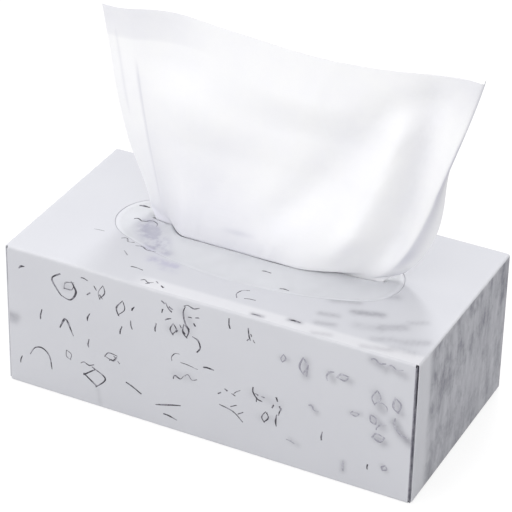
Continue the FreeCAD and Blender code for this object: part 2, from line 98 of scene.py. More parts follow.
class Tone:
    # One value of a node tree; sums and products of it add Math nodes
    def __init__(self, tree, socket=None):
        self.tree = tree
        self.socket = socket

    def node(self, kind, settings=None, inputs=None, output=0):
        made = self.tree.nodes.new(kind)
        made.location = (len(self.tree.nodes) % 12 * 190, len(self.tree.nodes) // 12 * -330)
        for name, value in (settings or {}).items():
            setattr(made, name, value)
        for name, value in (inputs or {}).items():
            if isinstance(value, Tone):
                self.tree.links.new(value.socket, made.inputs[name])
            else:
                made.inputs[name].default_value = value
        return Tone(self.tree, made.outputs[output] if made.outputs else None)

    def maths(self, operation, first, second=0.0):
        return self.node("ShaderNodeMath", {"operation": operation}, {0: first, 1: second})

    def __add__(self, other):
        return self.maths("ADD", self, other)

    def __sub__(self, other):
        return self.maths("SUBTRACT", self, other)

    def __mul__(self, other):
        return self.maths("MULTIPLY", self, other)

    def __radd__(self, other):
        return self.maths("ADD", other, self)

    def __rsub__(self, other):
        return self.maths("SUBTRACT", other, self)

    def __rmul__(self, other):
        return self.maths("MULTIPLY", other, self)

    def clamped(self):
        return self.node("ShaderNodeClamp", {}, {"Value": self})

    def span(self, low, high):
        # 0 at low, 1 at high and a smooth step between
        settings = {"interpolation_type": "SMOOTHSTEP"}
        inputs = {"Value": self, "From Min": low, "From Max": high}
        return self.node("ShaderNodeMapRange", settings, inputs)

    def atLeast(self, least):
        # Squeezed to run from least to 1
        return least + (1 - least) * self

    def mixed(self, first, second):
        # This value as the share of the second colour
        return self.node("ShaderNodeMix", {"data_type": "RGBA"}, {0: self, 6: first, 7: second}, 2)

    def noise(self, scale, detail=2.0, stretch=(1, 1, 1), rough=0.5):
        stretched = self.node("ShaderNodeMapping", {}, {"Vector": self, "Scale": stretch})
        inputs = {"Vector": stretched, "Scale": scale, "Detail": detail, "Roughness": rough}
        return self.node("ShaderNodeTexNoise", {}, inputs)

    def bumped(self, strength, distance):
        inputs = {"Height": self, "Strength": strength, "Distance": distance}
        return self.node("ShaderNodeBump", {}, inputs)


def startMaterial(name):
    material = bpy.data.materials.new(name)
    material.use_nodes = True
    material.node_tree.nodes.clear()
    return material, Tone(material.node_tree)


def endMaterial(start, surface):
    start.node("ShaderNodeOutputMaterial", {}, {"Surface": surface})


def endPrincipled(start, inputs):
    endMaterial(start, start.node("ShaderNodeBsdfPrincipled", {}, inputs))


def attribute(start, name):
    return start.node("ShaderNodeAttribute", {"attribute_name": name}, {}, 2)


def objectPlace(start):
    return start.node("ShaderNodeTexCoord", {}, {}, 3)


def separated(place):
    return [place.node("ShaderNodeSeparateXYZ", {}, {"Vector": place}, index) for index in range(3)]


def lightPathSeen(start):
    # 1 for rays from the camera, off a glossy face or through a clear one, else 0
    path = [start.node("ShaderNodeLightPath", {}, {}, index) for index in (0, 3, 6)]
    return (path[0] + path[1] + path[2]).clamped()


# Between which values of a noise its patches grow
patches = {
    "cloudy": (0.35, 0.75),
    "soft": (0.35, 0.65),
    "even": (0.30, 0.70),
    "sparse": (0.42, 0.66),
    "streaky": (0.38, 0.66),
    # The next range breaks up the painted lavender shade into patches
    "brokenUp": (0.40, 0.58),
}


def lavenderShade(start, place):
    # Lavender shade painted on the top and the film, broken into small patches by noise
    worn = place.noise(150, 4, (1, 1, 1), 0.65).span(*patches["brokenUp"])
    return (attribute(start, "lavender") * worn.atLeast(0.3)).clamped()


boardLook = {
    "face": (0.615, 0.620, 0.658, 1),
    "clouded": (0.580, 0.583, 0.625, 1),
    "worn": (0.70, 0.70, 0.728, 1),
    # Lighter colour painted along the front top fold: highlight on the rounded crease, partly rubbing
    "foldHighlightAndWear": (0.74, 0.74, 0.77, 1),
    # The ink colour is also the colour of the shadow painted in the right end's seams
    "ink": (0.10, 0.095, 0.13, 1),
    "lavender": (0.42, 0.41, 0.54, 1),
    "endStain": (0.18, 0.18, 0.215, 1),
    "clouds": 0.4,         # how strongly the face is clouded, and the end face stained
    "stained": 0.80,
    "cloudScale": 16,
    "grainScale": 900,
    "scuffScale": 170,
    "streakScale": 130,
    "blotScale": 80,
    "softScale": 330,
    "roughness": 0.55,
    "relief": 0.0002,
}


def makeBoardMaterial():
    material, start = startMaterial("coatedBoard")
    place = objectPlace(start)
    wear = attribute(start, "wear")
    cloud = place.noise(boardLook["cloudScale"], 4)
    grain = place.noise(boardLook["grainScale"], 2)
    scuffs = place.noise(boardLook["scuffScale"], 3).span(*patches["sparse"])
    clouds = cloud.span(*patches["cloudy"]) * boardLook["clouds"]
    colour = clouds.mixed(boardLook["face"], boardLook["clouded"])
    # Painted highlight along the front top fold's rounded crease, partly rubbing
    colour = (attribute(start, "foldHighlightAndWear") * cloud.atLeast(0.55)).mixed(colour, boardLook["foldHighlightAndWear"])

    # The outer end flaps are stained in upright streaks and blots
    streaks = place.noise(boardLook["streakScale"], 5, (1, 1, 0.24), 0.66).span(*patches["streaky"])
    blots = place.noise(boardLook["blotScale"], 6, (1, 1, 0.65), 0.72).span(*patches["sparse"])
    stain = attribute(start, "endStain") * (0.40 + 0.34 * streaks + 0.46 * blots)
    colour = (stain * boardLook["stained"]).clamped().mixed(colour, boardLook["endStain"])

    # Painted lavender shade along the opening's front left edge
    colour = lavenderShade(start, place).mixed(colour, boardLook["lavender"])
    # Soft ink marks, and the shadow painted in the right end's seams, are mixed towards the ink colour
    patchy = place.noise(boardLook["softScale"], 3).span(*patches["soft"])
    soft = attribute(start, "softInkAndSeamShadow") * (0.9 + 0.3 * patchy)
    colour = soft.clamped().mixed(colour, boardLook["ink"])
    colour = (wear * scuffs.atLeast(0.45)).clamped().mixed(colour, boardLook["worn"])
    height = grain * 0.5 + scuffs * wear * 0.6
    endPrincipled(start, {
        "Base Color": colour,
        "Roughness": boardLook["roughness"] + 0.12 * cloud + 0.15 * wear,
        "Normal": height.bumped(0.12, boardLook["relief"]),
        "Specular IOR Level": 0.35,
    })
    return material


inkLook = {
    "dark": (0.050, 0.047, 0.060, 1),
    "thin": (0.34, 0.335, 0.38, 1),
    "faded": (0.33, 0.325, 0.38, 1),
    "fadedThin": (0.56, 0.56, 0.61, 1),
    "patchScale": 420,
}


def makeInkMaterial(name, full, thin):
    material, start = startMaterial(name)
    patchy = objectPlace(start).noise(inkLook["patchScale"], 4).span(*patches["sparse"])
    endPrincipled(start, {
        "Base Color": (patchy * 0.85).mixed(inkLook[full], inkLook[thin]),
        "Roughness": 0.5 + 0.2 * patchy,
        "Specular IOR Level": 0.3,
    })
    return material


filmLook = {
    "clear": (0.78, 0.79, 0.83, 1),
    "hazy": (0.82, 0.83, 0.865, 1),
    "lavender": (0.46, 0.45, 0.58, 1),
    "cover": 0.60,         # how much the film hides of what lies under it
    "roughness": 0.34,
    "crinkleScale": 190,
    "hazeScale": 60,
    "relief": 0.0005,
}


def makeFilmMaterial():
    material, start = startMaterial("clearFilm")
    place = objectPlace(start)
    crinkle = place.noise(filmLook["crinkleScale"], 3, (1, 0.5, 1))
    haze = place.noise(filmLook["hazeScale"], 2)
    clouded = attribute(start, "clouded")
    colour = haze.mixed(filmLook["clear"], filmLook["hazy"])
    colour = clouded.mixed(colour, boardLook["face"])
    # Painted lavender shade on the film along the opening's front left edge
    colour = lavenderShade(start, place).mixed(colour, filmLook["lavender"])
    endPrincipled(start, {
        "Base Color": colour,
        "Roughness": filmLook["roughness"] + 0.14 * haze,
        "Alpha": (filmLook["cover"] + 0.12 * haze + 0.4 * clouded).clamped(),
        "Normal": crinkle.bumped(0.20, filmLook["relief"]),
    })
    return material


tissueLook = {
    "fibre": (0.93, 0.93, 0.94, 1),
    "thick": (0.91, 0.91, 0.935, 1),
    "shade": (0.56, 0.56, 0.64, 1),
    "roughness": 0.82,
    "cloudScale": 55,
    "fibreScale": 1100,
    "crepeScale": 420,
    "relief": 0.0003,
}


def makeTissueMaterial(name):
    material, start = startMaterial(name)
    place = objectPlace(start)
    clouds = place.noise(tissueLook["cloudScale"], 4, (1, 1, 1), 0.6)
    fibres = place.noise(tissueLook["fibreScale"], 3, (1, 1, 0.45), 0.65)
    crepe = place.noise(tissueLook["crepeScale"], 2, (0.25, 1, 2.2))
    thick = clouds.span(*patches["even"]) * 0.8
    colour = thick.mixed(tissueLook["fibre"], tissueLook["thick"])
    # Painted shade in the tissue's folds and creases, close to the slit and on the turned right margin
    shade = (attribute(start, "shade") * clouds.atLeast(0.7)).clamped()
    colour = shade.mixed(colour, tissueLook["shade"])
    height = fibres * 0.5 + crepe
    endPrincipled(start, {
        "Base Color": colour,
        "Roughness": tissueLook["roughness"] + 0.1 * fibres,
        "Normal": height.bumped(0.10, tissueLook["relief"]),
        "Specular IOR Level": 0.1,
    })
    return material


boardMaterial = makeBoardMaterial()
inkMaterial = makeInkMaterial("panelInk", "dark", "thin")
fadedMaterial = makeInkMaterial("fadedInk", "faded", "fadedThin")
filmMaterial = makeFilmMaterial()
plyMaterial = makeTissueMaterial("drawnTissue")
packMaterial = makeTissueMaterial("foldedTissue")
print("stage 2: materials made")


# Mesh helpers

sharpAngle = math.radians(40)


class Sheet:
    # Gathers rows of points that share their edges into one sheet
    def __init__(self):
        self.points = []
        self.faces = []

    def add(self, x, y, z):
        self.points.append((x, y, z))
        return len(self.points) - 1

    def join(self, rows, closed=False):
        for first, second in zip(rows, rows[1:]):
            for index in range(len(first) if closed else len(first) - 1):
                following = (index + 1) % len(first)
                self.faces.append((first[index], first[following], second[following], second[index]))


def makePiece(name, points, faces, material, attributes):
    mesh = bpy.data.meshes.new(name)
    mesh.from_pydata([tuple(float(number) * mm for number in point) for point in points], [], faces)
    for label, values in attributes.items():
        layer = mesh.attributes.new(label, "FLOAT", "POINT")
        layer.data.foreach_set("value", np.asarray(values, dtype=np.float32))
    mesh.materials.append(material)
    mesh.shade_smooth()
    return addObject(name, mesh)


def faceOutwards(piece, isOut):
    # Winds all faces one way, and turns them over where a face known to look out looks in
    work = bmesh.new()
    work.from_mesh(piece.data)
    bmesh.ops.recalc_face_normals(work, faces=work.faces)
    if sum(1 if isOut(face) else -1 for face in work.faces if isOut(face) is not None) < 0:
        bmesh.ops.reverse_faces(work, faces=work.faces)
    work.to_mesh(piece.data)
    work.free()


def thicken(piece, thickness, offset, even=True):
    solid = piece.modifiers.new("thickness", "SOLIDIFY")
    solid.thickness = thickness * mm
    solid.offset = offset
    solid.use_even_offset = even
    makePlain(piece)


def makePlain(piece):
    # The piece with its modifiers becomes a plain mesh
    graph = bpy.context.evaluated_depsgraph_get()
    finished = bpy.data.meshes.new_from_object(piece.evaluated_get(graph))
    piece.modifiers.clear()
    piece.data = finished
    finished.name = piece.name
    finished.set_sharp_from_angle(angle=sharpAngle)


def step(number):
    number = np.clip(number, 0, 1)
    return number * number * (3 - 2 * number)


def stepFrom(low, high, number):
    return step((number - low) / (high - low))


def around(middle, soft, number):
    # A step that is soft for this far on both sides of its middle
    return stepFrom(middle - soft, middle + soft, number)


def plateau(low, high, rise, fall, number):
    # 1 between low and high, with a rise just above low and a fall just below high
    return stepFrom(low, low + rise, number) * (1 - stepFrom(high - fall, high, number))


def hump(number):
    return np.exp(-np.square(number))


def between(first, second, share):
    return first + (second - first) * share


def stations(low, high, cell):
    count = max(1, round(abs(high - low) / cell))
    return [low + (high - low) * index / count for index in range(count + 1)]


# Carton

carton = {
    "board": 0.5,
    "foldRadius": 1.2,
    "endFoldRadius": 1.1,
    "hingeRadius": 0.6,
    "glueGap": 0.15,
    "outerFlapLift": 1.0,
    "innerFlapHeight": 58.0,
    "dustFlapReach": 46.0,
    "dustFlapLift": 1.6,
    "lapHeight": 14.0,
    "lapCell": 4.0,
    "seamGap": 0.4,
    "seamTurn": 6,         # degrees of the bottom back fold that lie behind the seam
    "seamShadow": 0.75,    # how dark the board is where it shows through the right end's seams
    "leftEndStain": 0.4,   # how stained the left end is beside the right one
    "openingLength": 160.0,
    "openingWidth": 68.0,
    "openingEndRadius": 22.0,
    "cell": 1.25,          # size of the mesh's cells where the panels show
    "coarseCell": 7.0,     # and on the bottom, the back and the hidden flaps
    "flapCell": 2.0,
    "foldCells": 6,        # cells round a fold, and round the thinner fold of a hidden flap
    "hingeCells": 4,
    "rings": 24,
    "frontBulge": 0.7,
    "topBulge": 0.4,
    "endBulge": 0.5,
    "wornWidth": 0.8,      # how far the wear reaches in from the folds
    "edgeRough": 0.22,     # how unevenly the end folds are creased, and how far in that reaches
    "edgeReach": 1.5,
    "edgeWaves": (0.9, 0.37, 2.3),
    "foldSag": 1.0,        # how far the front top fold is pressed down, where, and how widely
    "foldSagPlace": -28.0,
    "foldSagWidth": 34.0,
    "foldSagReach": 7.0,
    "foldSagBack": 0.4,    # how far it goes back for each millimetre that it goes down
    "bandWidth": 8.5,      # the band along the front top fold painted lighter, as highlight on its rounded crease and partly as rubbing, and how softly it stops
    "bandSoft": 1.5,
    "bandStart": -38.0,
    "bandStartSoft": 6.0,
    "stainStart": 15.5,    # how far from the front fold the ends' stain starts, and how softly
    "stainSoft": 3.5,
    "stainLeast": 0.1,     # what is left of it along the fold
    "stainLow": 0.88,      # and its strength low down and at the top, and where it starts to grow
    "stainHigh": 1.12,
    "stainRise": 20.0,
    "nearFace": 0.01,      # within this a point counts as on a panel's face
}

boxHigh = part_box("carton")[1]
halfLength = boxHigh.x / mm
halfDepth = boxHigh.y / mm
height = boxHigh.z / mm
layer = carton["board"] + carton["glueGap"]
panelEnd = halfLength - 2 * layer
sleeveEnd = panelEnd - carton["hingeRadius"]


def cartonPlace(x, y, z):
    # How a point of the true box lies on the filled and handled one
    along = 1 - min(1, abs(x) / panelEnd) ** 2
    across = 1 - min(1, abs(y) / halfDepth) ** 2
    upright = 1 - min(1, abs(2 * z / height - 1)) ** 2
    if abs(x) > panelEnd:
        x += math.copysign(carton["endBulge"] * across * upright, x)
    elif abs(y) > halfDepth - carton["foldRadius"]:
        y += math.copysign(carton["frontBulge"] * along * upright, y)
    if z > height - carton["foldRadius"]:
        z += carton["topBulge"] * along * across
    quick, slow, fine = carton["edgeWaves"]
    rough = math.sin(y * quick) * math.sin(y * slow + 1) + 0.5 * math.sin(y * fine)
    fromEnd = abs(halfLength - abs(x)) + abs(height - z)
    z -= carton["edgeRough"] * rough * math.exp(-fromEnd / carton["edgeReach"])
    nearFold = math.exp(-(abs(y + halfDepth) + abs(height - z)) / carton["foldSagReach"])
    spread = float(hump((x - carton["foldSagPlace"]) / carton["foldSagWidth"]))
    pressed = carton["foldSag"] * nearFold * spread
    return x, y + pressed * carton["foldSagBack"], z - pressed


def arcPoints(centre, radius, start, end, count):
    turns = [math.radians(start + (end - start) * index / count) for index in range(count + 1)]
    return [(centre[0] + radius * math.cos(turn), centre[1] + radius * math.sin(turn)) for turn in turns]


def sleeveOutline():
    # The board's way round the sleeve, seen from the right end, and the point each stretch ends at
    radius = carton["foldRadius"]
    side = halfDepth - radius
    top = height - radius
    lift = carton["dustFlapLift"]
    seam = radius + carton["seamGap"]
    cell, coarse = carton["cell"], carton["coarseCell"]

    def fold(y, z, start, end):
        return arcPoints((y, z), radius, start, end, carton["foldCells"])

    lap = stations(carton["lapHeight"], seam, carton["lapCell"])
    upright = stations(lift, height - lift, cell) + [top]
    down = [seam] + stations(lift, height - lift, coarse)
    stretches = {
        "lap": [(halfDepth - layer, z) for z in lap],
        "bottom": fold(side, radius, -carton["seamTurn"], -90),
        "bottomEnd": [(y, 0.0) for y in stations(side, -side, coarse)[1:]],
        "front": fold(-side, radius, -90, -180)[1:],
        "frontEnd": [(-halfDepth, z) for z in upright],
        "top": fold(-side, top, 180, 90)[1:],
        "topEnd": [(y, height) for y in stations(-side, side, cell)[1:]],
        "back": fold(side, top, 90, 0)[1:],
        "backEnd": [(halfDepth, z) for z in reversed(down)],
    }
    points = []
    ends = {}
    for name, stretch in stretches.items():
        points += stretch
        ends[name] = len(points) - 1
    return points, ends


def openingPoint(x, y):
    # Where the line from the opening's middle through a point meets its edge of four arcs
    endRadius = carton["openingEndRadius"]
    leg = carton["openingLength"] / 2 - endRadius
    rest = carton["openingWidth"] / 2 - endRadius
    beyond = (leg ** 2 - rest ** 2) / (2 * rest)
    sideRadius = carton["openingWidth"] / 2 + beyond
    turn = math.atan2(abs(y), abs(x))
    dx, dy = math.cos(turn), math.sin(turn)
    # The long side arc is centred below the middle, the end arc beside it
    reach = -dy * beyond + math.sqrt(max(0.0, (dy * beyond) ** 2 + sideRadius ** 2 - beyond ** 2))
    if dx * reach * beyond > (dy * reach + beyond) * leg:
        reach = dx * leg + math.sqrt(max(0.0, (dx * leg) ** 2 + endRadius ** 2 - leg ** 2))
    return math.copysign(dx * reach, x), math.copysign(dy * reach, y)


def buildCartonSheet():
    sheet = Sheet()
    outline, ends = sleeveOutline()
    lengthwise = stations(-sleeveEnd, sleeveEnd, carton["cell"])
    last = len(lengthwise) - 1
    top, topEnd = ends["top"], ends["topEnd"]
    numbers = {}
    for j, (y, z) in enumerate(outline):
        for i, x in enumerate(lengthwise):
            if top < j < topEnd and 0 < i < last:
                continue
            numbers[j, i] = sheet.add(x, y, z)
    for j in range(len(outline) - 1):
        if top <= j < topEnd:
            continue
        sheet.join([[numbers[row, i] for i in range(last + 1)] for row in (j, j + 1)])

    # Rings from the top panel's four edges in to the opening
    edge = [(top, i) for i in range(last + 1)]
    edge += [(j, last) for j in range(top + 1, topEnd)]
    edge += [(topEnd, i) for i in range(last, -1, -1)]
    edge += [(j, 0) for j in range(topEnd - 1, top, -1)]
    rings = [[numbers[key] for key in edge]]
    for ring in range(1, carton["rings"] + 1):
        share = ring / carton["rings"]
        row = []
        for j, i in edge:
            x, y = lengthwise[i], outline[j][0]
            inX, inY = openingPoint(x, y)
            row.append(sheet.add(between(x, inX, share), between(y, inY, share), height))
        rings.append(row)
    sheet.join(rings, closed=True)

    def addFlap(first, end, i, path, place):
        # Rows of new points that carry a panel's end on along a path
        rows = [[numbers[j, i] for j in range(first, end + 1)]]
        for a, b in path:
            rows.append([sheet.add(*place(a, b, *outline[j])) for j in range(first, end + 1)])
        sheet.join(rows)

    radius = carton["endFoldRadius"]
    hinge = carton["hingeRadius"]
    inner = halfLength - layer
    reach = halfDepth - carton["dustFlapReach"]
    coarse = carton["coarseCell"]
    for side, i in ((-1, 0), (1, last)):
        # The outer flap hangs from the top panel
        path = arcPoints((halfLength - radius, height - radius), radius, 90, 0, carton["foldCells"])
        drop = stations(height - radius, carton["outerFlapLift"], carton["flapCell"])[1:]
        path += [(halfLength, z) for z in drop]
        addFlap(top, topEnd, i, path, lambda x, z, y, up: (side * x, y, z))
        # The inner flap stands up from the bottom panel
        path = arcPoints((inner - hinge, hinge), hinge, -90, 0, carton["hingeCells"])
        path += [(inner, z) for z in stations(hinge, carton["innerFlapHeight"], coarse)[1:]]
        low, lowEnd = ends["bottom"], ends["bottomEnd"]
        addFlap(low, lowEnd, i, path, lambda x, z, y, up: (side * x, y, z))
        # A dust flap turns in from the front panel and one from the back panel
        path = arcPoints((sleeveEnd, halfDepth - hinge), hinge, 90, 0, carton["hingeCells"])[1:]
        path += [(panelEnd, y) for y in stations(halfDepth - hinge, reach, coarse)[1:]]
        for face, panel in ((-1, "front"), (1, "back")):
            first, end = ends[panel] + 1, ends[panel + "End"] - 1
            addFlap(first, end, i, path, lambda x, y, out, up: (side * x, face * y, up))
    return sheet


# Soft marks rubbed and printed on the board: points in millimetres, half width, strength. On the
# front panel a point is (across, up), on the top panel (across, to the back).
softMarks = {
    "front": [
        ([(56, 66), (56.5, 58)], 2.3, 0.30), ([(69, 63), (71, 60)], 2.0, 0.26),
        ([(76, 63), (80, 62)], 2.2, 0.24), ([(91, 78), (98, 75)], 2.4, 0.30),
        ([(102, 76), (108, 74)], 2.2, 0.24), ([(94, 59), (97, 51)], 3.0, 0.28),
        ([(105, 58), (107, 52)], 2.4, 0.28), ([(93, 45), (98, 41)], 2.6, 0.30),
        ([(95, 34), (99, 32)], 2.6, 0.30), ([(104, 46), (108, 40), (113, 36)], 2.4, 0.44),
        ([(60, 41), (63, 38)], 1.7, 0.22), ([(81, 44), (86, 45)], 1.7, 0.20),
        ([(78, 13), (78, 8)], 1.5, 0.26), ([(99, 18), (101, 16)], 1.6, 0.22),
        ([(-114, 41), (-109, 41)], 2.2, 0.30), ([(-114, 38), (-110, 38)], 2.0, 0.26),
        ([(-61, 11), (-60, 2)], 1.2, 0.12), ([(43, 64), (46, 64)], 1.7, 0.22),
        ([(49, 17), (53, 15)], 1.5, 0.16), ([(-18, 62), (-9, 63)], 3.0, 0.16),
        ([(-12, 74), (-7, 68)], 2.4, 0.16), ([(-80, 68), (-77, 68)], 2.2, 0.14),
        ([(-16, 35), (-7, 36)], 2.4, 0.13), ([(28, 38), (42, 36)], 2.6, 0.12),
        ([(33, 25), (40, 26)], 2.6, 0.13),
    ],
    "top": [
        ([(27, -28), (31, -28)], 1.7, 0.45), ([(25, -55), (30, -55)], 1.5, 0.40),
        ([(43, -51), (49, -51)], 1.5, 0.40), ([(13, -20), (17, -20)], 1.5, 0.22),
        ([(54, -25), (66, -21)], 2.6, 0.26), ([(46, -22), (53, -18)], 2.2, 0.16),
        ([(54, -39), (62, -37)], 2.0, 0.26), ([(56, -47), (64, -45)], 2.0, 0.24),
        ([(68, -30), (81, -26)], 2.3, 0.40), ([(86, -36), (95, -31)], 2.8, 0.28),
        ([(71, -10), (81, -8)], 2.8, 0.22), ([(58, -56), (66, -54)], 1.8, 0.18),
        ([(86, -47), (95, -43)], 2.2, 0.20), ([(100, -43), (110, -38)], 2.6, 0.24),
        ([(96, -26), (103, -22)], 1.8, 0.18), ([(84, -55), (97, -52)], 2.0, 0.18),
        ([(74, -40), (84, -38)], 3.4, 0.14), ([(98, -50), (108, -49)], 2.4, 0.16),
    ],
}

# Painted lavender shade on the top that follows the opening's front left edge
lavenderShadeMarks = [
    ([(-62, -4), (-59, -12), (-52, -18), (-46, -22)], 4.4, 0.70),
    ([(-55, -6), (-50, -13), (-43, -20)], 3.2, 0.50),
    ([(-50, -24), (-38, -26)], 2.6, 0.60),
    ([(-42, -34), (-28, -35)], 3.0, 0.62),
    ([(-33, -40), (-27, -40)], 2.0, 0.35),
]


def strokeStrength(marks, places):
    # How strongly a list of soft strokes marks each place on a panel
    clear = np.ones(len(places))
    for line, width, strength in marks:
        distance = np.full(len(places), np.inf)
        for first, second in zip(line, line[1:]):
            start = np.array(first, float)
            run = np.array(second, float) - start
            share = np.clip(((places - start) @ run) / (run @ run), 0, 1)
            away = np.linalg.norm(places - start - share[:, None] * run, axis=1)
            distance = np.minimum(distance, away)
        clear *= 1 - strength * hump(distance / width)
    return 1 - clear


def cartonAttributes(points):
    x, y, z = points.T
    onFront = y < -halfDepth + carton["nearFace"]
    onTop = z > height - carton["nearFace"]
    belowFold = z < height - 1
    onEnd = (np.abs(x) > halfLength - carton["nearFace"]) & belowFold
    sideFold = np.hypot(halfDepth - np.abs(y), np.minimum(height - z, z + 2))
    endFold = np.hypot(halfLength - np.abs(x), height - z)
    corner = np.hypot(halfLength - np.abs(x), halfDepth - np.abs(y))
    wear = np.exp(-np.minimum(np.minimum(sideFold, endFold), corner + 0.8) / carton["wornWidth"])
    # Where the highlight along the front top fold is painted, partly as rubbing
    foldHighlightAndWear = onTop * (1 - around(carton["bandWidth"], carton["bandSoft"], y + halfDepth))
    foldHighlightAndWear = foldHighlightAndWear * around(carton["bandStart"], carton["bandStartSoft"], x)
    soft = onFront * strokeStrength(softMarks["front"], points[:, [0, 2]])
    soft = soft + onTop * strokeStrength(softMarks["top"], points[:, :2])
    # Painted shadow: the board that shows through the right end's seams is darkened like ink
    inSeam = (np.abs(x) > sleeveEnd + 0.2) & (np.abs(x) < halfLength - 0.3) & belowFold
    soft = np.where(inSeam & (x > 0), carton["seamShadow"], soft)
    lavender = onTop * strokeStrength(lavenderShadeMarks, points[:, :2])
    started = around(carton["stainStart"], carton["stainSoft"], y + halfDepth)
    stain = onEnd * between(carton["stainLeast"], 1, started)
    risen = stepFrom(carton["stainRise"], height, z)
    stain = stain * between(carton["stainLow"], carton["stainHigh"], risen)
    stain = stain * np.where(x > 0, 1, carton["leftEndStain"])
    return {"wear": wear, "foldHighlightAndWear": foldHighlightAndWear, "softInkAndSeamShadow": soft, "lavender": lavender, "endStain": stain}


def makeCarton():
    sheet = buildCartonSheet()
    flat = np.array(sheet.points)
    placed = [cartonPlace(*point) for point in sheet.points]
    piece = makePiece("cartonBoard", placed, sheet.faces, boardMaterial, cartonAttributes(flat))
    high = (height - 0.5) * mm
    faceOutwards(piece, lambda face: face.normal.z > 0 if face.calc_center_median().z > high else None)
    thicken(piece, carton["board"], -1)
    return piece


cartonPiece = makeCarton()
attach(cartonPiece, "root")
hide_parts("carton")
print("stage 3: carton folded,", len(cartonPiece.data.polygons), "faces")


# The slit in the film that the tissue is drawn through

slit = {
    "half": 66.4,
    "across": 4.1,
    "shift": 2.0,
    "sag": 6.5,            # how far its lips stand apart from its middle line
    "taper": 1.4,          # how thin it grows towards its ends
}


# The drawn tissue

tissue = {
    "width": 212.0,
    "rise": 120.0,
    "thickness": 0.12,
    "plySpacing": 0.7,
    "edgeClosed": 0.4,     # share of that space left at the free edge
    "slitSpan": 129.0,
    "slitSpanShift": 4.5,
    "slitRoom": 1.2,       # from the film's front lip to the middle of the front ply
    "slitRise": 0.03,      # share of the rise over which it leaves the slit's curve
    "leftMargin": 17.0,
    "leftMarginFoot": 0.6,  # share of its width that shows at the foot
    "rightMargin": 11.0,
    "leftTurn": (28, 12),  # degrees the margins are turned back by, at the foot and higher up
    "rightTurn": (42, 108),
    "footHalf": 58.5,
    "footShift": 1.5,
    "headHalf": 93.8,
    "headShift": 19.0,
    "leftSpread": 1.1,     # powers of the height with which the front panel's edges spread
    "rightSpread": 0.53,
    "leftDrop": 5.0,       # how far the free edge's corners hang, and over which share of the width
    "leftDropWidth": 0.10,
    "rightDrop": 3.5,
    "rightDropWidth": 0.05,
    "footBulge": 12.0,     # how far to the front the belly stands, and how far back its left end
    "footEdge": 3.5,
    "middleBulge": 3.5,
    "swing": 0.17,         # share of the width over which the left end comes to the front
    "waist": 0.45,         # share of the rise at which the belly has gone
    "headLean": 8.0,       # how far back the top right corner leans
    "foldFade": 0.2,
    "tailClear": 0.4,
    "tailBend": 2.6,
    "tailInset": 1.0,
    "rearShade": 0.15,     # share of the front ply's shading that the rear ply has
    "columns": 236,
    "rows": 130,
    "tailRows": (22, 9, 4),  # on the pack, round the bend and up to the slit
    "rowPower": 1.25,      # above 1 the rows are closer together near the slit
    "foldSoftness": 8,     # rounds of smoothing across, which round the turned margins' folds
    "seed": 3,
}

# Ranges for the small random creases: places, half widths and heights are shares
creases = {
    "count": 16,
    "place": (0.02, 0.98),
    "lean": (-0.25, 0.25),
    "wide": (0.008, 0.03),
    "middle": (0.15, 0.85),
    "reach": (0.15, 0.45),
    "depth": 0.28,
}
gathers = {
    "count": 14,
    "place": (0.05, 0.95),
    "wide": (0.008, 0.02),
    "reach": 0.10,
    "depth": 0.45,
}

# Folds as in the part's source: places at the foot and at the free edge, the power of the height with
# which they move there, depth, half width, from and to which share of the rise, and the strength of the
# shade painted along it.
# Places and half widths are shares of the front panel's width.
foldParts = ("foot", "head", "bend", "depth", "wide", "low", "high", "shade")
tissueFolds = [dict(zip(foldParts, row)) for row in [
    (0.95, 0.87, 1.0, 6.0, 0.040, 0.02, 1.02, 0.29),
    (0.78, 0.86, 0.8, -6.0, 0.055, 0.05, 0.90, 0.0),
    (0.42, 0.86, 0.9, 4.0, 0.075, 0.08, 0.95, 0.13),
    (0.30, 0.26, 1.0, 2.5, 0.200, 0.10, 0.60, 0.0),
    (0.14, 0.14, 1.0, 3.5, 0.100, 0.60, 1.50, 0.0),
    (0.57, 0.57, 1.0, -6.0, 0.200, 0.60, 1.50, 0.0),
]]

# The front panel lies between these shares of the tissue's width
panelStart = tissue["leftMargin"] / tissue["width"]
panelStop = 1 - tissue["rightMargin"] / tissue["width"]


def footDepth(share):
    # How far back the front panel stands just above the slit, at a share of its width: its left
    # end comes round to the belly, and its right end goes most of the way back
    swing = stepFrom(0, tissue["swing"], share) * (1 - 0.85 * stepFrom(0.66, 1, share))
    return tissue["footEdge"] - (tissue["footEdge"] + tissue["footBulge"]) * swing


def foldPlace(fold, rise):
    return between(fold["foot"], fold["head"], rise ** fold["bend"])


def panelDepth(share, rise):
    # How far back the front panel lies at a share of its width and of its rise
    middle = -tissue["middleBulge"] * plateau(0, 1, tissue["swing"], 0.15, share)
    head = tissue["headLean"] * stepFrom(0.72, 1, share)
    depth = between(footDepth(share), middle, stepFrom(tissue["slitRise"], tissue["waist"], rise))
    depth = between(depth, head, stepFrom(tissue["waist"], 1, rise))
    for fold in tissueFolds:
        risen = plateau(fold["low"], fold["high"], tissue["foldFade"], tissue["foldFade"], rise)
        near = hump((share - foldPlace(fold, rise)) / fold["wide"])
        depth = depth + fold["depth"] * risen * near
    return depth


def slitPlace(share):
    sag = slit["sag"] - tissue["slitRoom"]
    across = (share - 0.5) * tissue["slitSpan"] + tissue["slitSpanShift"]
    return across, slit["shift"] - sag * (1 - (2 * share - 1) ** 2)


def turnedMargin(width, share, turns, turned):
    # How far across and back the points of a margin lie from its fold
    turn = np.radians(between(turns[0], turns[1], turned))
    return width * share * np.cos(turn), width * share * np.sin(turn)


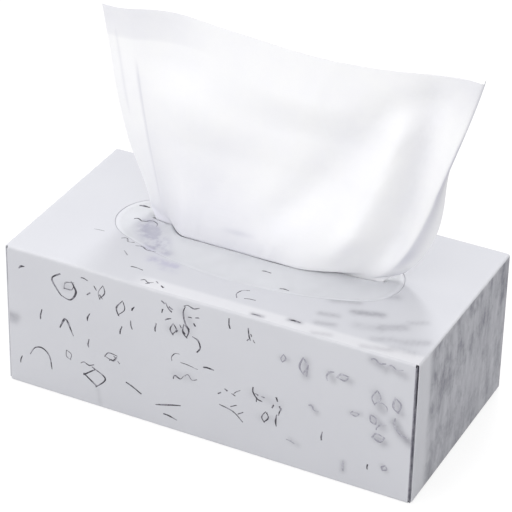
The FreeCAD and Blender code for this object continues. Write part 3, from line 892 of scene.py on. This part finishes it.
def standingTissue(share, rise):
    # Points of the tissue above the slit: a front panel and a margin turned back at each side
    footLeft = tissue["footShift"] - tissue["footHalf"]
    footRight = tissue["footShift"] + tissue["footHalf"]
    headLeft = tissue["headShift"] - tissue["headHalf"]
    headRight = tissue["headShift"] + tissue["headHalf"]
    left = between(footLeft, headLeft, rise ** tissue["leftSpread"])
    right = between(footRight, headRight, rise ** tissue["rightSpread"])
    panelShare = np.clip((share - panelStart) / (panelStop - panelStart), 0, 1)
    across = between(left, right, panelShare)
    back = panelDepth(panelShare, rise)

    leftShare = np.clip(1 - share / panelStart, 0, 1)
    width = tissue["leftMargin"] * between(tissue["leftMarginFoot"], 1, stepFrom(0, 0.35, rise))
    aside, behind = turnedMargin(width, leftShare, tissue["leftTurn"], stepFrom(0, 0.7, rise))
    across, back = across - aside, back + behind

    rightShare = np.clip((share - panelStop) / (1 - panelStop), 0, 1)
    turned = stepFrom(0.15, 0.65, rise)
    aside, behind = turnedMargin(tissue["rightMargin"], rightShare, tissue["rightTurn"], turned)
    across, back = across + aside, back + behind

    slitAcross, slitBack = slitPlace(share)
    risen = stepFrom(0, tissue["slitRise"], rise)
    drop = tissue["leftDrop"] * hump(share / tissue["leftDropWidth"])
    drop = drop + tissue["rightDrop"] * hump((1 - share) / tissue["rightDropWidth"])
    up = height + rise * (tissue["rise"] - drop)
    return between(slitAcross, across, risen), between(slitBack, back, risen), up


def lyingTissue(share, run, level, tailEnd, drop, arc, tail):
    # Points below the slit: down, round a bend and flat on the pack; run is measured from the slit
    across, back = slitPlace(share)
    bend = tissue["tailBend"]
    turned = np.clip((run - drop) / bend, 0, math.pi / 2)
    up = np.where(run < drop, height - run, level + bend * (1 - np.sin(turned)))
    along = np.clip((run - drop - arc) / tail, 0, 1)
    bent = back + bend * (1 - np.cos(turned))
    across = between(across, (share - 0.5) * tissue["width"], step(along))
    return across, between(bent, tailEnd, along), up + 0 * across


def tissueGrid():
    # Rows of middle points from the hidden edge to the free edge
    share = np.linspace(0, 1, tissue["columns"])
    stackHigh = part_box("tissue_stack")[1]
    level = stackHigh.z / mm + tissue["tailClear"]
    tailEnd = stackHigh.y / mm - tissue["tailInset"]
    drop = height - level - tissue["tailBend"]
    arc = tissue["tailBend"] * math.pi / 2
    tail = tailEnd - slit["shift"] - tissue["tailBend"]
    flatRows, bendRows, dropRows = tissue["tailRows"]
    runs = [drop + arc + tail * part for part in np.linspace(1, 0.04, flatRows)]
    runs += [drop + arc * part for part in np.linspace(1, 0, bendRows)]
    runs += [drop * part for part in np.linspace(1, 0, dropRows)[1:]]
    rows = [np.stack(lyingTissue(share, run, level, tailEnd, drop, arc, tail), -1) for run in runs]
    heights = np.linspace(0, 1, tissue["rows"])[1:] ** tissue["rowPower"]
    rows += [np.stack(standingTissue(share, rise), -1) for rise in heights]
    rises = np.concatenate([np.zeros(len(runs)), heights])
    grid = np.array(rows)
    for smoothing in range(tissue["foldSoftness"]):
        middle = grid[:, 1:-1]
        grid[:, 1:-1] = middle * 0.5 + (grid[:, :-2] + grid[:, 2:]) * 0.25
    return grid, share, rises


def squareTo(grid):
    # The direction square to the tissue at each point, towards the front
    across = np.gradient(grid, axis=1)
    along = np.gradient(grid, axis=0)
    front = np.cross(across, along)
    return front / np.linalg.norm(front, axis=2, keepdims=True)


def softCreases(share, rises):
    # Small soft creases that run up the tissue, and gathers just above the slit
    random.seed(tissue["seed"])
    total = np.zeros((len(rises), len(share)))
    s = share[None, :]
    h = rises[:, None]
    for crease in range(creases["count"]):
        parts = ("place", "lean", "wide", "middle", "reach")
        place, lean, wide, middle, reach = [random.uniform(*creases[part]) for part in parts]
        deep = random.uniform(-1, 1) * creases["depth"]
        near = hump((s - place - lean * (h - middle)) / wide)
        total += deep * near * hump((h - middle) / reach)
    for gather in range(gathers["count"]):
        place, wide = [random.uniform(*gathers[part]) for part in ("place", "wide")]
        deep = random.uniform(-1, 1) * gathers["depth"]
        low = np.exp(-h / gathers["reach"]) * stepFrom(0.01, 0.05, h)
        total += deep * hump((s - place) / wide) * low
    return total * stepFrom(0, 0.06, h)


# Painted shade where the tissue looks a little darker: place across and up as shares, half widths,
# strength
tissueShades = [
    (0.42, 0.115, 0.045, 0.012, 0.30),   # faint oblong smudge low on the front
    (0.26, 0.30, 0.18, 0.20, 0.22),
    (0.32, 0.08, 0.30, 0.20, 0.34),
    (0.05, 0.98, 0.17, 0.09, 0.14),
    (0.97, 0.97, 0.10, 0.13, 0.34),
    (0.03, 0.01, 0.07, 0.03, 0.35),
]

# Shade painted along fold lines that run up the tissue: place across, half width, from and to which
# height, strength
tissueFoldShades = [
    (0.080, 0.0045, 0.04, 0.80, 0.52),
    (0.030, 0.0045, 0.45, 0.96, 0.26),
    (0.949, 0.0040, 0.38, 0.82, 0.95),
]

# Strengths of painted shade on the tissue
tissueShading = {
    "crest": 0.16,         # right of the left margin's fold, and over which share that fades
    "crestPlace": 0.08,
    "crestReach": 0.035,
    "foot": 0.42,          # close to the slit, and how high up
    "footReach": 0.06,
    "stripe": 0.76,        # place and half width of the bright stripe that is left there
    "stripeHalf": 0.09,
    "hem": 0.20,           # behind the hem at the top left
    "margin": 0.70,        # on the turned right margin
}


def shadeOf(share, rises):
    s = share[None, :]
    h = rises[:, None]
    look = tissueShading
    beyond = s - look["crestPlace"]
    crest = np.exp(-np.clip(beyond, 0, 1) / look["crestReach"]) * (beyond > 0)
    shade = look["crest"] * crest * hump((h - 0.35) / 0.3)
    for place, up, wide, tall, strength in tissueShades:
        shade = shade + strength * hump((s - place) / wide) * hump((h - up) / tall)
    for place, wide, low, high, strength in tissueFoldShades:
        along = plateau(low, high, 0.12, 0.12, h)
        shade = np.maximum(shade, strength * hump((s - place) / wide) * along)
    for fold in tissueFolds:
        place = between(panelStart, panelStop, foldPlace(fold, h))
        along = plateau(0.15, fold["high"], 0.35, 0.3, h)
        shade = shade + fold["shade"] * along * hump((s - place) / (0.75 * fold["wide"]))
    stripe = hump((s - look["stripe"]) / look["stripeHalf"])
    shade = shade + look["foot"] * np.exp(-h / look["footReach"]) * (1 - stripe)
    shade = shade + look["hem"] * stepFrom(0.855, 0.872, h) * (1 - stepFrom(0.12, 0.34, s))
    margin = stepFrom(0.944, 0.952, s) * (1 - 0.75 * stepFrom(0.955, 0.995, s))
    return np.maximum(shade, look["margin"] * margin * stepFrom(0.02, 0.15, h))


def makePly(name, behind, shaded):
    grid, share, rises = tissueGrid()
    front = squareTo(grid)
    closed = between(1, tissue["edgeClosed"], stepFrom(0.88, 1, rises))
    offset = softCreases(share, rises) - behind * closed[:, None]
    grid = grid + front * offset[:, :, None]
    rows, columns = grid.shape[:2]
    faces = []
    for j in range(rows - 1):
        for i in range(columns - 1):
            start = j * columns + i
            faces.append((start, start + 1, start + 1 + columns, start + columns))
    shade = (shadeOf(share, rises) * shaded).reshape(-1)
    piece = makePiece(name, grid.reshape(-1, 3), faces, plyMaterial, {"shade": shade})
    thicken(piece, tissue["thickness"], 0, False)
    return piece


frontPly = makePly("drawnTissueFront", 0.0, 1.0)
rearPly = makePly("drawnTissueRear", tissue["plySpacing"], tissue["rearShade"])
for ply, node in ((frontPly, "tissue_front_ply"), (rearPly, "tissue_rear_ply")):
    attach(ply, "root")
    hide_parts(node)
print("stage 4: tissue drawn,", len(frontPly.data.polygons), "faces a ply")


# Film with the slit

film = {
    "thickness": 0.08,
    "halfLength": 91.0,
    "halfWidth": 45.0,
    "lipLift": 0.3,
    "lipReach": 3.5,
    "wave": 0.3,           # its slight waves: depth, number, and ranges for their run and start
    "waves": 5,
    "waveRanges": [(0.04, 0.12), (0.08, 0.2), (0, 6)],
    "pillow": 0.46,        # how far it swells up to the board's face just inside the opening
    "glueEdge": 0.002,     # share of the way in at which that begins
    "glueClear": 0.03,     # gap between the film and the board above it
    "glueHaze": 0.05,      # how far in from the opening's edge the film is clouded by its glue
    "tent": 3.0,           # how far the tissue's belly pulls it up, and the slopes on both sides
    "tentClear": 0.6,
    "tentBack": 3.0,
    "tentFront": 10.0,
    "tentPower": 0.6,      # below 1 the ends of the belly pull it up nearly as far as the middle
    "edgeFade": 0.25,      # share of the way in over which lips, waves and tent begin
    "tissueRoom": 0.25,    # how far it stays below the tissue, looked for this far up
    "tissueReach": 6.0,
    "around": 180,
    "rings": 40,
    "ringPower": 1.3,      # above 1 the rings are closer together near the slit
    "seed": 5,
}

filmLow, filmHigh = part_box("slot_film")
filmLevel = (filmLow.z + filmHigh.z) / 2 / mm
random.seed(film["seed"])
filmWaves = []
for wave in range(film["waves"]):
    filmWaves.append([random.uniform(*span) for span in film["waveRanges"]])


def insideOpening(x, y):
    # 1 in the opening's middle, 0 at its edge and less outside it
    edgeX, edgeY = openingPoint(x, y)
    return 1 - math.hypot(x, y) / math.hypot(edgeX, edgeY)


def filmHeight(x, y):
    # Glued flat under the board, level with it in the opening, and pulled up along the belly
    inside = insideOpening(x, y)
    level = cartonPlace(x, y, height)[2] - height + filmLevel - film["glueClear"]
    opened = max(0.0, 1 - ((x - slit["across"]) / slit["half"]) ** 2)
    away = max(0.0, abs(y - slit["shift"]) - slit["sag"] * opened)
    ripple = sum(math.sin(a * x + b * y + c) for a, b, c in filmWaves) / len(filmWaves)
    belly = float(footDepth((x - tissue["footShift"]) / (2 * tissue["footHalf"]) + 0.5))
    crest = belly - film["tentClear"]
    reach = film["tentFront"] if y < crest else film["tentBack"]
    pull = max(0.0, -belly / tissue["footBulge"]) ** film["tentPower"]
    lift = film["lipLift"] * opened * math.exp(-away / film["lipReach"]) + film["wave"] * ripple
    lift += film["tent"] * pull * float(hump((y - crest) / reach))
    pillow = film["pillow"] * float(stepFrom(film["glueEdge"], 2 * film["glueEdge"], inside))
    return level + pillow + float(step(inside / film["edgeFade"])) * lift


def underTissue(points):
    # Presses the film down where it would reach into the drawn tissue
    trees = []
    for ply in (frontPly, rearPly):
        corners = [vertex.co for vertex in ply.data.vertices]
        trees.append(BVHTree.FromPolygons(corners, [face.vertices for face in ply.data.polygons]))
    pressed = []
    for x, y, z in points:
        start = Vector((x, y, filmLevel - 1)) * mm
        for tree in trees:
            hit = tree.ray_cast(start, Vector((0, 0, 1)), film["tissueReach"] * mm)[0]
            if hit:
                z = min(z, hit.z / mm - film["tissueRoom"])
        pressed.append((x, y, z))
    return pressed


def makeFilm():
    sheet = Sheet()
    glue = film["glueEdge"]
    inner = [share ** film["ringPower"] for share in np.linspace(0, 0.93, film["rings"])]
    inner += [0.965, 0.985, 1 - 2 * glue, 1 - glue]
    rings = []
    for share in inner + [1.0, 1.15, 1.5, 2.0]:
        # From the slit at 0 to the opening's edge at 1 and the film's own edge at 2
        row = []
        for index in range(film["around"]):
            turn = 2 * math.pi * index / film["around"]
            cosine, sine = math.cos(turn), math.sin(turn)
            lip = math.copysign(slit["sag"] * abs(sine) ** slit["taper"], sine)
            slitX = slit["across"] + slit["half"] * cosine
            slitY = slit["shift"] + tissue["plySpacing"] / 2 + lip
            square = max(abs(cosine), abs(sine))
            borderX = film["halfLength"] * cosine / square
            borderY = film["halfWidth"] * sine / square
            edgeX, edgeY = openingPoint(borderX, borderY)
            if share <= 1:
                x, y = between(slitX, edgeX, share), between(slitY, edgeY, share)
            else:
                x, y = between(edgeX, borderX, share - 1), between(edgeY, borderY, share - 1)
            row.append(sheet.add(x, y, filmHeight(x, y)))
        rings.append(row)
    sheet.join(rings, closed=True)
    lavender = strokeStrength(lavenderShadeMarks, np.array(sheet.points)[:, :2])
    inside = np.array([insideOpening(x, y) for x, y, z in sheet.points])
    clouded = 1 - stepFrom(0.2 * film["glueHaze"], film["glueHaze"], inside)
    marks = {"lavender": lavender, "clouded": clouded}
    piece = makePiece("slitFilm", underTissue(sheet.points), sheet.faces, filmMaterial, marks)
    faceOutwards(piece, lambda face: face.normal.z > 0)
    thicken(piece, film["thickness"], 0)
    return piece


filmPiece = makeFilm()
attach(filmPiece, "root")
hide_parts("slot_film")
print("stage 5: film laid")


# Geometry node plans

class Plan:
    # A geometry node tree with named inputs
    def __init__(self, name, inputs):
        self.tree = bpy.data.node_groups.new(name, "GeometryNodeTree")
        self.node = Tone(self.tree).node
        self.sockets = {}
        for label, kind in inputs.items():
            kind = "NodeSocket" + kind
            made = self.tree.interface.new_socket(label, in_out="INPUT", socket_type=kind)
            self.sockets[label] = made.identifier
        self.tree.interface.new_socket("Mesh", in_out="OUTPUT", socket_type="NodeSocketGeometry")
        start = self.tree.nodes.new("NodeGroupInput")
        self.given = {label: Tone(self.tree, start.outputs[label]) for label in inputs}

    def finish(self, geometry, material, weld):
        # Welds what was grown, gives it its material and hands it out
        welded = self.node("GeometryNodeMergeByDistance", {}, {"Geometry": geometry, "Distance": weld})
        paint = self.node("GeometryNodeSetMaterial", {}, {"Geometry": welded, "Material": material})
        end = self.tree.nodes.new("NodeGroupOutput")
        self.tree.links.new(paint.socket, end.inputs[0])

    def run(self, piece, values):
        # Grows the piece's mesh with these inputs and leaves it as a plain mesh
        grown = piece.modifiers.new("plan", "NODES")
        grown.node_group = self.tree
        for label, value in values.items():
            grown[self.sockets[label]] = value
        graph = bpy.context.evaluated_depsgraph_get()
        mesh = bpy.data.meshes.new_from_object(piece.evaluated_get(graph))
        piece.modifiers.clear()
        return mesh


# Brush marks printed on the panels, each a thin ribbon of ink along a short curve

inkStroke = {
    "height": 0.07,        # half of it stands proud of the board
    "step": 0.5,           # length of a ribbon's cells
    "taper": 0.4,          # share of the width left at a stroke's ends
    "rough": 0.35,         # how much the width comes and goes
    "stray": 0.4,          # how far a second pass strays from the first, and its share of the width
    "second": 0.55,
    "weld": 0.002,
    "seed": 8,
}

# Shapes in a square from -0.5 to 0.5, one list of points for each stroke
brushShapes = {
    "dash": [[(-0.5, -0.1), (-0.1, 0.12), (0.5, 0.0)]],
    "arch": [[(-0.5, 0.0), (-0.25, 0.42), (0.1, 0.5), (0.4, 0.2), (0.5, -0.45)]],
    "hill": [[(-0.5, -0.2), (-0.2, 0.4), (-0.05, 0.5), (0.12, 0.3), (0.5, -0.5)]],
    "kite": [
        [(-0.5, -0.05), (0.02, 0.4)],
        [(-0.1, 0.5), (0.5, 0.1), (0.04, -0.5)],
        [(0.1, -0.46), (-0.5, 0.05)],
    ],
    "nest": [
        [(-0.15, 0.5), (-0.5, 0.2), (-0.3, -0.2), (-0.1, -0.45)],
        [(-0.16, -0.4), (0.25, -0.5), (0.5, -0.1), (0.3, 0.3)],
    ],
    "leaf": [[(-0.5, -0.05), (-0.1, 0.45), (0.5, 0.1)], [(-0.46, 0.05), (0.05, -0.42), (0.44, 0.02)]],
    "ripple": [[(-0.5, -0.2), (-0.25, 0.4), (0.1, -0.3), (0.5, 0.25)]],
    "crumbs": [[(-0.5, -0.4), (-0.3, -0.15)], [(-0.05, 0.5), (0.1, 0.2)], [(0.3, -0.1), (0.5, -0.4)]],
    "sprig": [
        [(-0.5, -0.3), (0.0, -0.05), (0.5, -0.2)],
        [(-0.15, 0.1), (-0.02, 0.5)],
        [(0.2, 0.05), (0.3, 0.4)],
    ],
    "bow": [[(-0.5, -0.2), (-0.25, 0.25), (0.2, 0.3), (0.5, -0.15)]],
}

# Each mark: shape, across, up or back, width, height, turn in degrees, width of its line
frontMarks = [
    ("dash", -105, 72, 4, 3, 25, 0.75), ("nest", -80, 68, 14, 14, 0, 0.95),
    ("leaf", -77, 69, 8, 5, 35, 0.4), ("dash", -68, 76, 4, 2, -15, 0.5),
    ("crumbs", -62, 70, 9, 7, 0, 0.8), ("leaf", -58, 71, 9, 4, 75, 0.5),
    ("dash", -94, 47, 6, 2, 80, 0.65), ("dash", -66, 54, 5, 3, 70, 0.55),
    ("leaf", -47, 65, 10, 5, 72, 0.7), ("dash", -40, 67, 3, 1, 60, 0.9),
    ("crumbs", -22, 74, 7, 7, 30, 0.95), ("dash", -20, 74, 6, 3, 125, 0.7),
    ("bow", -10, 71, 13, 4, 100, 0.7), ("crumbs", -6, 71, 6, 6, 70, 0.7),
    ("ripple", -7, 78, 9, 2, 5, 0.5), ("dash", -41, 57, 5, 2, 100, 0.6),
    ("dash", -47, 52, 5, 2, 75, 0.65), ("dash", -27, 60, 5, 2, 80, 0.7),
    ("leaf", -17, 62, 7, 4, 85, 0.65), ("leaf", -10, 63, 8, 4, 100, 0.65),
    ("crumbs", -13, 63, 5, 5, 0, 0.7), ("dash", 14, 75, 6, 2, 95, 0.8),
    ("dash", 25, 72, 7, 2, 100, 0.75), ("crumbs", 26, 70, 4, 5, 0, 0.6),
    ("hill", -79, 44, 8, 9, 0, 1.0), ("dash", -66, 38, 5, 2, 85, 0.75),
    ("arch", -95, 20, 13, 12, 0, 1.0), ("leaf", -78, 27, 6, 4, 110, 0.45),
    ("dash", -107, 15, 5, 2, 75, 0.5), ("leaf", -53, 34, 8, 5, 15, 0.55),
    ("crumbs", -51, 33, 6, 4, 0, 0.6), ("ripple", -67, 25, 8, 2, 5, 0.75),
    ("kite", -63, 18, 13, 12, 0, 0.75), ("dash", -40, 19, 10, 2, -28, 1.0),
    ("dash", -20, 15, 15, 1, 16, 0.8), ("dash", -19, 8, 8, 2, -12, 0.75),
    ("bow", -4, 57, 9, 6, -75, 0.85), ("dash", 3, 45, 6, 2, 0, 0.85),
    ("bow", -16, 46, 7, 4, 50, 0.4), ("dash", -8, 43, 10, 2, -8, 0.35),
    ("ripple", -14, 34, 7, 3, 20, 0.55), ("ripple", -7, 36, 7, 3, -10, 0.55),
    ("crumbs", 13, 34, 10, 4, 10, 0.7), ("dash", 19, 36, 5, 2, 40, 0.55),
    ("sprig", 17, 24, 15, 9, -30, 0.7), ("bow", 30, 38, 9, 4, 125, 0.75),
    ("crumbs", 31, 37, 6, 4, 40, 0.6), ("crumbs", 41, 36, 5, 8, 0, 0.85),
    ("dash", 43, 32, 5, 2, 70, 0.55), ("dash", 41, 26, 7, 2, 88, 0.7),
    ("leaf", 35, 26, 7, 4, 80, 0.5), ("dash", 66, 25, 5, 2, 85, 0.75),
    ("dash", 91, 15, 3, 1, 85, 0.9), ("dash", -20, 67, 4, 1, 30, 0.5),
]
fadedMarks = [
    ("leaf", 55, 63, 10, 5, 88, 0.8), ("dash", 57, 61, 7, 2, 82, 0.6),
    ("bow", 69, 62, 7, 4, 60, 0.9), ("leaf", 76, 63, 7, 4, 15, 0.8),
    ("ripple", 94, 78, 8, 2, -8, 0.8), ("ripple", 103, 77, 8, 2, -5, 0.7),
    ("leaf", 94, 57, 9, 5, 80, 0.9), ("bow", 98, 53, 6, 4, -40, 0.7),
    ("leaf", 105, 56, 9, 5, 100, 0.9), ("leaf", 93, 44, 6, 4, 120, 0.8),
    ("bow", 97, 41, 7, 3, 40, 0.8), ("leaf", 96, 34, 7, 5, 10, 0.9),
    ("bow", 107, 43, 12, 6, 125, 0.8), ("ripple", 61, 40, 6, 2, -30, 0.8),
    ("leaf", 83, 44, 5, 3, 10, 0.7), ("dash", 78, 11, 6, 2, 88, 0.8),
    ("leaf", 100, 17, 4, 3, 60, 0.8), ("leaf", 44, 64, 5, 3, 80, 0.6),
    ("dash", 49, 16, 5, 2, -15, 0.6),
]
topMarks = [
    ("dash", -71, 10, 6, 2, 5, 1.1), ("ripple", -66, -3, 8, 2, 0, 0.6),
    ("bow", -59, -3, 8, 5, -25, 0.45), ("ripple", -62, -24, 8, 3, -15, 0.5),
    ("ripple", -50, -27, 12, 2, -5, 0.45), ("dash", -57, -35, 5, 1, -40, 0.35),
    ("dash", -80, -22, 6, 1, 5, 0.35), ("dash", -45, -45, 7, 2, -5, 0.6),
    ("crumbs", -30, -53, 10, 4, 4, 0.8), ("ripple", -35, -53, 7, 2, 0, 0.45),
    ("bow", 12, -41, 9, 6, 70, 0.5), ("dash", 18, -44, 6, 2, 10, 0.6),
    ("dash", 27, -55, 5, 2, 0, 0.8), ("dash", 46, -51, 6, 2, 0, 0.9),
    ("dash", 29, -28, 5, 2, 5, 0.7), ("dash", 15, -20, 5, 2, 0, 0.4),
]


def strokePlan():
    inputs = {"Geometry": "Geometry", "Width": "Float", "Height": "Float", "Step": "Float"}
    plan = Plan("brushStrokes", {**inputs, "Weld": "Float", "Ink": "Material"})
    flowing = plan.node("GeometryNodeCurveSplineType", {"spline_type": "CATMULL_ROM"}, {
        "Curve": plan.given["Geometry"],
    })
    even = plan.node("GeometryNodeResampleCurve", {"mode": "LENGTH"}, {
        "Curve": flowing,
        "Length": plan.given["Step"],
    })
    flat = plan.node("GeometryNodeSetCurveNormal", {"mode": "Z_UP"}, {"Curve": even})
    outline = plan.node("GeometryNodeCurvePrimitiveQuadrilateral", {"mode": "RECTANGLE"}, {
        "Width": plan.given["Width"],
        "Height": plan.given["Height"],
    })
    ribbon = plan.node("GeometryNodeCurveToMesh", {}, {
        "Curve": flat,
        "Profile Curve": outline,
        "Scale": plan.node("GeometryNodeInputRadius"),
        "Fill Caps": True,
    })
    real = plan.node("GeometryNodeRealizeInstances", {}, {"Geometry": ribbon})
    plan.finish(real, plan.given["Ink"], plan.given["Weld"])
    return plan


def addStroke(data, points, weights, line):
    spline = data.splines.new("POLY")
    spline.points.add(len(points) - 1)
    for point, (x, y), weight in zip(spline.points, points, weights):
        point.co = (x * mm, y * mm, 0, 1)
        point.radius = line * weight


def strokeCurves(name, marks):
    # One flat curve object: for each stroke a spline, and a thinner one that strays from it
    data = bpy.data.curves.new(name, "CURVE")
    data.dimensions = "3D"
    random.seed(inkStroke["seed"])
    for shape, across, up, wide, high, turn, line in marks:
        turned = Matrix.Rotation(math.radians(turn), 2)
        for stroke in brushShapes[shape]:
            points = [Vector((across, up)) + turned @ Vector((a * wide, b * high)) for a, b in stroke]
            weights = []
            for index in range(len(points)):
                full = math.sin(math.pi * (index + 0.5) / len(points))
                rough = 1 + random.uniform(-1, 1) * inkStroke["rough"]
                weights.append(between(inkStroke["taper"], 1, full) * rough)
            addStroke(data, points, weights, line)
            stray = []
            for point in points:
                aside = Vector((random.uniform(-1, 1), random.uniform(-1, 1)))
                stray.append(point + aside * inkStroke["stray"])
            shorter = stray[:-1] if len(stray) > 3 else stray
            addStroke(data, shorter, weights, line * inkStroke["second"])
    return addObject(name, data)


def printMarks(name, marks, material, place):
    # Ribbons made flat, then laid on their panel by the place function
    curves = strokeCurves(name + "Lines", marks)
    mesh = strokePlan().run(curves, {
        "Width": mm,
        "Height": inkStroke["height"] * mm,
        "Step": inkStroke["step"] * mm,
        "Weld": inkStroke["weld"] * mm,
        "Ink": material,
    })
    bpy.data.objects.remove(curves)
    proudest = inkStroke["height"] / 2
    for vertex in mesh.vertices:
        a, b, proud = (number / mm for number in vertex.co)
        vertex.co = Vector(place(a, b, max(-proudest, min(proudest, proud)))) * mm
    piece = addObject(name, mesh)
    mesh.name = name
    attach(piece, "root")
    return len(mesh.polygons)


def onFrontPanel(across, up, proud):
    x, y, z = cartonPlace(across, -halfDepth, up)
    return x, y - proud, z


def onTopPanel(across, back, proud):
    if insideOpening(across, back) > 0:
        return across, back, filmHeight(across, back) + film["thickness"] / 2 + proud
    x, y, z = cartonPlace(across, back, height)
    return x, y, z + proud


inkFaces = printMarks("frontPrint", frontMarks, inkMaterial, onFrontPanel)
inkFaces += printMarks("fadedPrint", fadedMarks, fadedMaterial, onFrontPanel)
inkFaces += printMarks("topPrint", topMarks, inkMaterial, onTopPanel)
print("stage 6: marks printed,", inkFaces, "faces")


# The folded pack: one rounded layer for each folded tissue, laid by geometry nodes

pack = {
    "pitch": 4.2,
    "fold": 1.8,           # radius of a layer's rounded folds
    "foldCells": 5,
    "shift": 0.45,         # how far a layer lies out of line
    "gap": 0.02,
    "weld": 0.01,
    "seed": 11,
}


def packPlan():
    floats = ("Pitch", "Length", "Depth", "Fold", "Shift", "Weld")
    inputs = {"Geometry": "Geometry", "Layers": "Int", **{label: "Float" for label in floats}}
    plan = Plan("foldedPack", {**inputs, "Cells": "Int", "Seed": "Int", "Paper": "Material"})
    given = plan.given
    line = plan.node("GeometryNodeCurvePrimitiveLine", {}, {
        "Start": plan.node("ShaderNodeCombineXYZ", {}, {"X": given["Length"] * -0.5}),
        "End": plan.node("ShaderNodeCombineXYZ", {}, {"X": given["Length"] * 0.5}),
    })
    outline = plan.node("GeometryNodeCurvePrimitiveQuadrilateral", {"mode": "RECTANGLE"}, {
        "Width": given["Depth"],
        "Height": given["Pitch"],
    })
    rounded = plan.node("GeometryNodeFilletCurve", {"mode": "POLY"}, {
        "Curve": outline,
        "Radius": given["Fold"],
        "Count": given["Cells"],
    })
    tube = plan.node("GeometryNodeCurveToMesh", {}, {
        "Curve": line,
        "Profile Curve": rounded,
        "Fill Caps": True,
    })
    lift = plan.node("ShaderNodeCombineXYZ", {}, {"Z": given["Pitch"]})
    points = plan.node("GeometryNodeMeshLine", {}, {"Count": given["Layers"], "Offset": lift})
    laid = plan.node("GeometryNodeInstanceOnPoints", {}, {"Points": points, "Instance": tube})
    back = given["Shift"] * -1.0
    out = plan.node("FunctionNodeRandomValue", {"data_type": "FLOAT_VECTOR"}, {
        "Min": plan.node("ShaderNodeCombineXYZ", {}, {"X": back, "Y": back}),
        "Max": plan.node("ShaderNodeCombineXYZ", {}, {"X": given["Shift"], "Y": given["Shift"]}),
        "Seed": given["Seed"],
    })
    moved = plan.node("GeometryNodeTranslateInstances", {}, {"Instances": laid, "Translation": out})
    real = plan.node("GeometryNodeRealizeInstances", {}, {"Geometry": moved})
    plan.finish(real, given["Paper"], given["Weld"])
    return plan


def makePack():
    low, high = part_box("tissue_stack")
    count = round((high.z - low.z) / mm / pack["pitch"])
    pitch = (high.z - low.z) / count
    piece = addObject("tissuePack", bpy.data.meshes.new("tissuePack"))
    mesh = packPlan().run(piece, {
        "Layers": count,
        "Pitch": pitch - pack["gap"] * mm,
        "Length": high.x - low.x,
        "Depth": high.y - low.y,
        "Fold": pack["fold"] * mm,
        "Shift": pack["shift"] * mm,
        "Weld": pack["weld"] * mm,
        "Cells": pack["foldCells"],
        "Seed": pack["seed"],
        "Paper": packMaterial,
    })
    mesh.transform(Matrix.Translation((0, 0, low.z + pitch / 2)))
    mesh.set_sharp_from_angle(angle=sharpAngle)
    piece.data = mesh
    return piece


packPiece = makePack()
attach(packPiece, "root")
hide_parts("tissue_stack")
print("stage 7: pack laid,", len(packPiece.data.polygons), "faces")


# Floor, backdrop and lights

studio = {
    "floorSize": 6.0,
    "floorBounce": 0.65,   # how much light the floor gives back to the object
    "floorPaint": 0.25,
    "floorGlow": 0.78,
    "sky": 0.68,           # brightness level with the horizon, and how it grows towards each side
    "skyUp": 0.64,
    "skyLeft": 0.22,
    "skyFront": 0.40,
    "keyFrom": (-0.20, 0.70, 1.0),
    "keyStrength": 0.70,
    "keyAngle": 12.0,
}


def makeFloor():
    half = studio["floorSize"] / 2
    mesh = bpy.data.meshes.new("floor")
    corners = [(-half, -half, 0), (half, -half, 0), (half, half, 0), (-half, half, 0)]
    mesh.from_pydata(corners, [], [(0, 1, 2, 3)])
    floor = addObject("floor", mesh)
    material, start = startMaterial("paleFloor")
    bounce = (studio["floorBounce"],) * 3 + (1,)
    paint = (studio["floorPaint"],) * 3 + (1,)
    plain = start.node("ShaderNodeBsdfDiffuse", {}, {"Color": bounce})
    painted = start.node("ShaderNodeBsdfDiffuse", {}, {"Color": paint})
    glow = start.node("ShaderNodeEmission", {}, {"Strength": studio["floorGlow"]})
    pale = start.node("ShaderNodeAddShader", {}, {0: painted, 1: glow})
    endMaterial(start, start.node("ShaderNodeMixShader", {}, {0: lightPathSeen(start), 1: plain, 2: pale}))
    mesh.materials.append(material)


def makeWorld():
    world = bpy.data.worlds.new("studio")
    world.use_nodes = True
    world.node_tree.nodes.clear()
    start = Tone(world.node_tree)
    x, y, z = separated(start.node("ShaderNodeTexCoord", {}, {}, 0))
    strength = studio["sky"] + studio["skyUp"] * z.clamped()
    strength = strength - studio["skyLeft"] * x - studio["skyFront"] * y
    sky = start.node("ShaderNodeBackground", {}, {"Color": (1, 1, 1, 1), "Strength": strength})
    white = start.node("ShaderNodeBackground", {}, {"Color": (1, 1, 1, 1), "Strength": 1.0})
    mixed = start.node("ShaderNodeMixShader", {}, {0: lightPathSeen(start), 1: sky, 2: white})
    start.node("ShaderNodeOutputWorld", {}, {"Surface": mixed})
    bpy.context.scene.world = world


def makeSun(name, towards, strength, angle):
    lamp = bpy.data.lights.new(name, "SUN")
    lamp.energy = strength
    lamp.angle = math.radians(angle)
    sun = addObject(name, lamp)
    sun.matrix_world = Vector(towards).to_track_quat("Z", "Y").to_matrix().to_4x4()


makeFloor()
makeWorld()
makeSun("keyLight", studio["keyFrom"], studio["keyStrength"], studio["keyAngle"])
bpy.context.scene.view_settings.view_transform = "Standard"
print("stage 8: studio set")
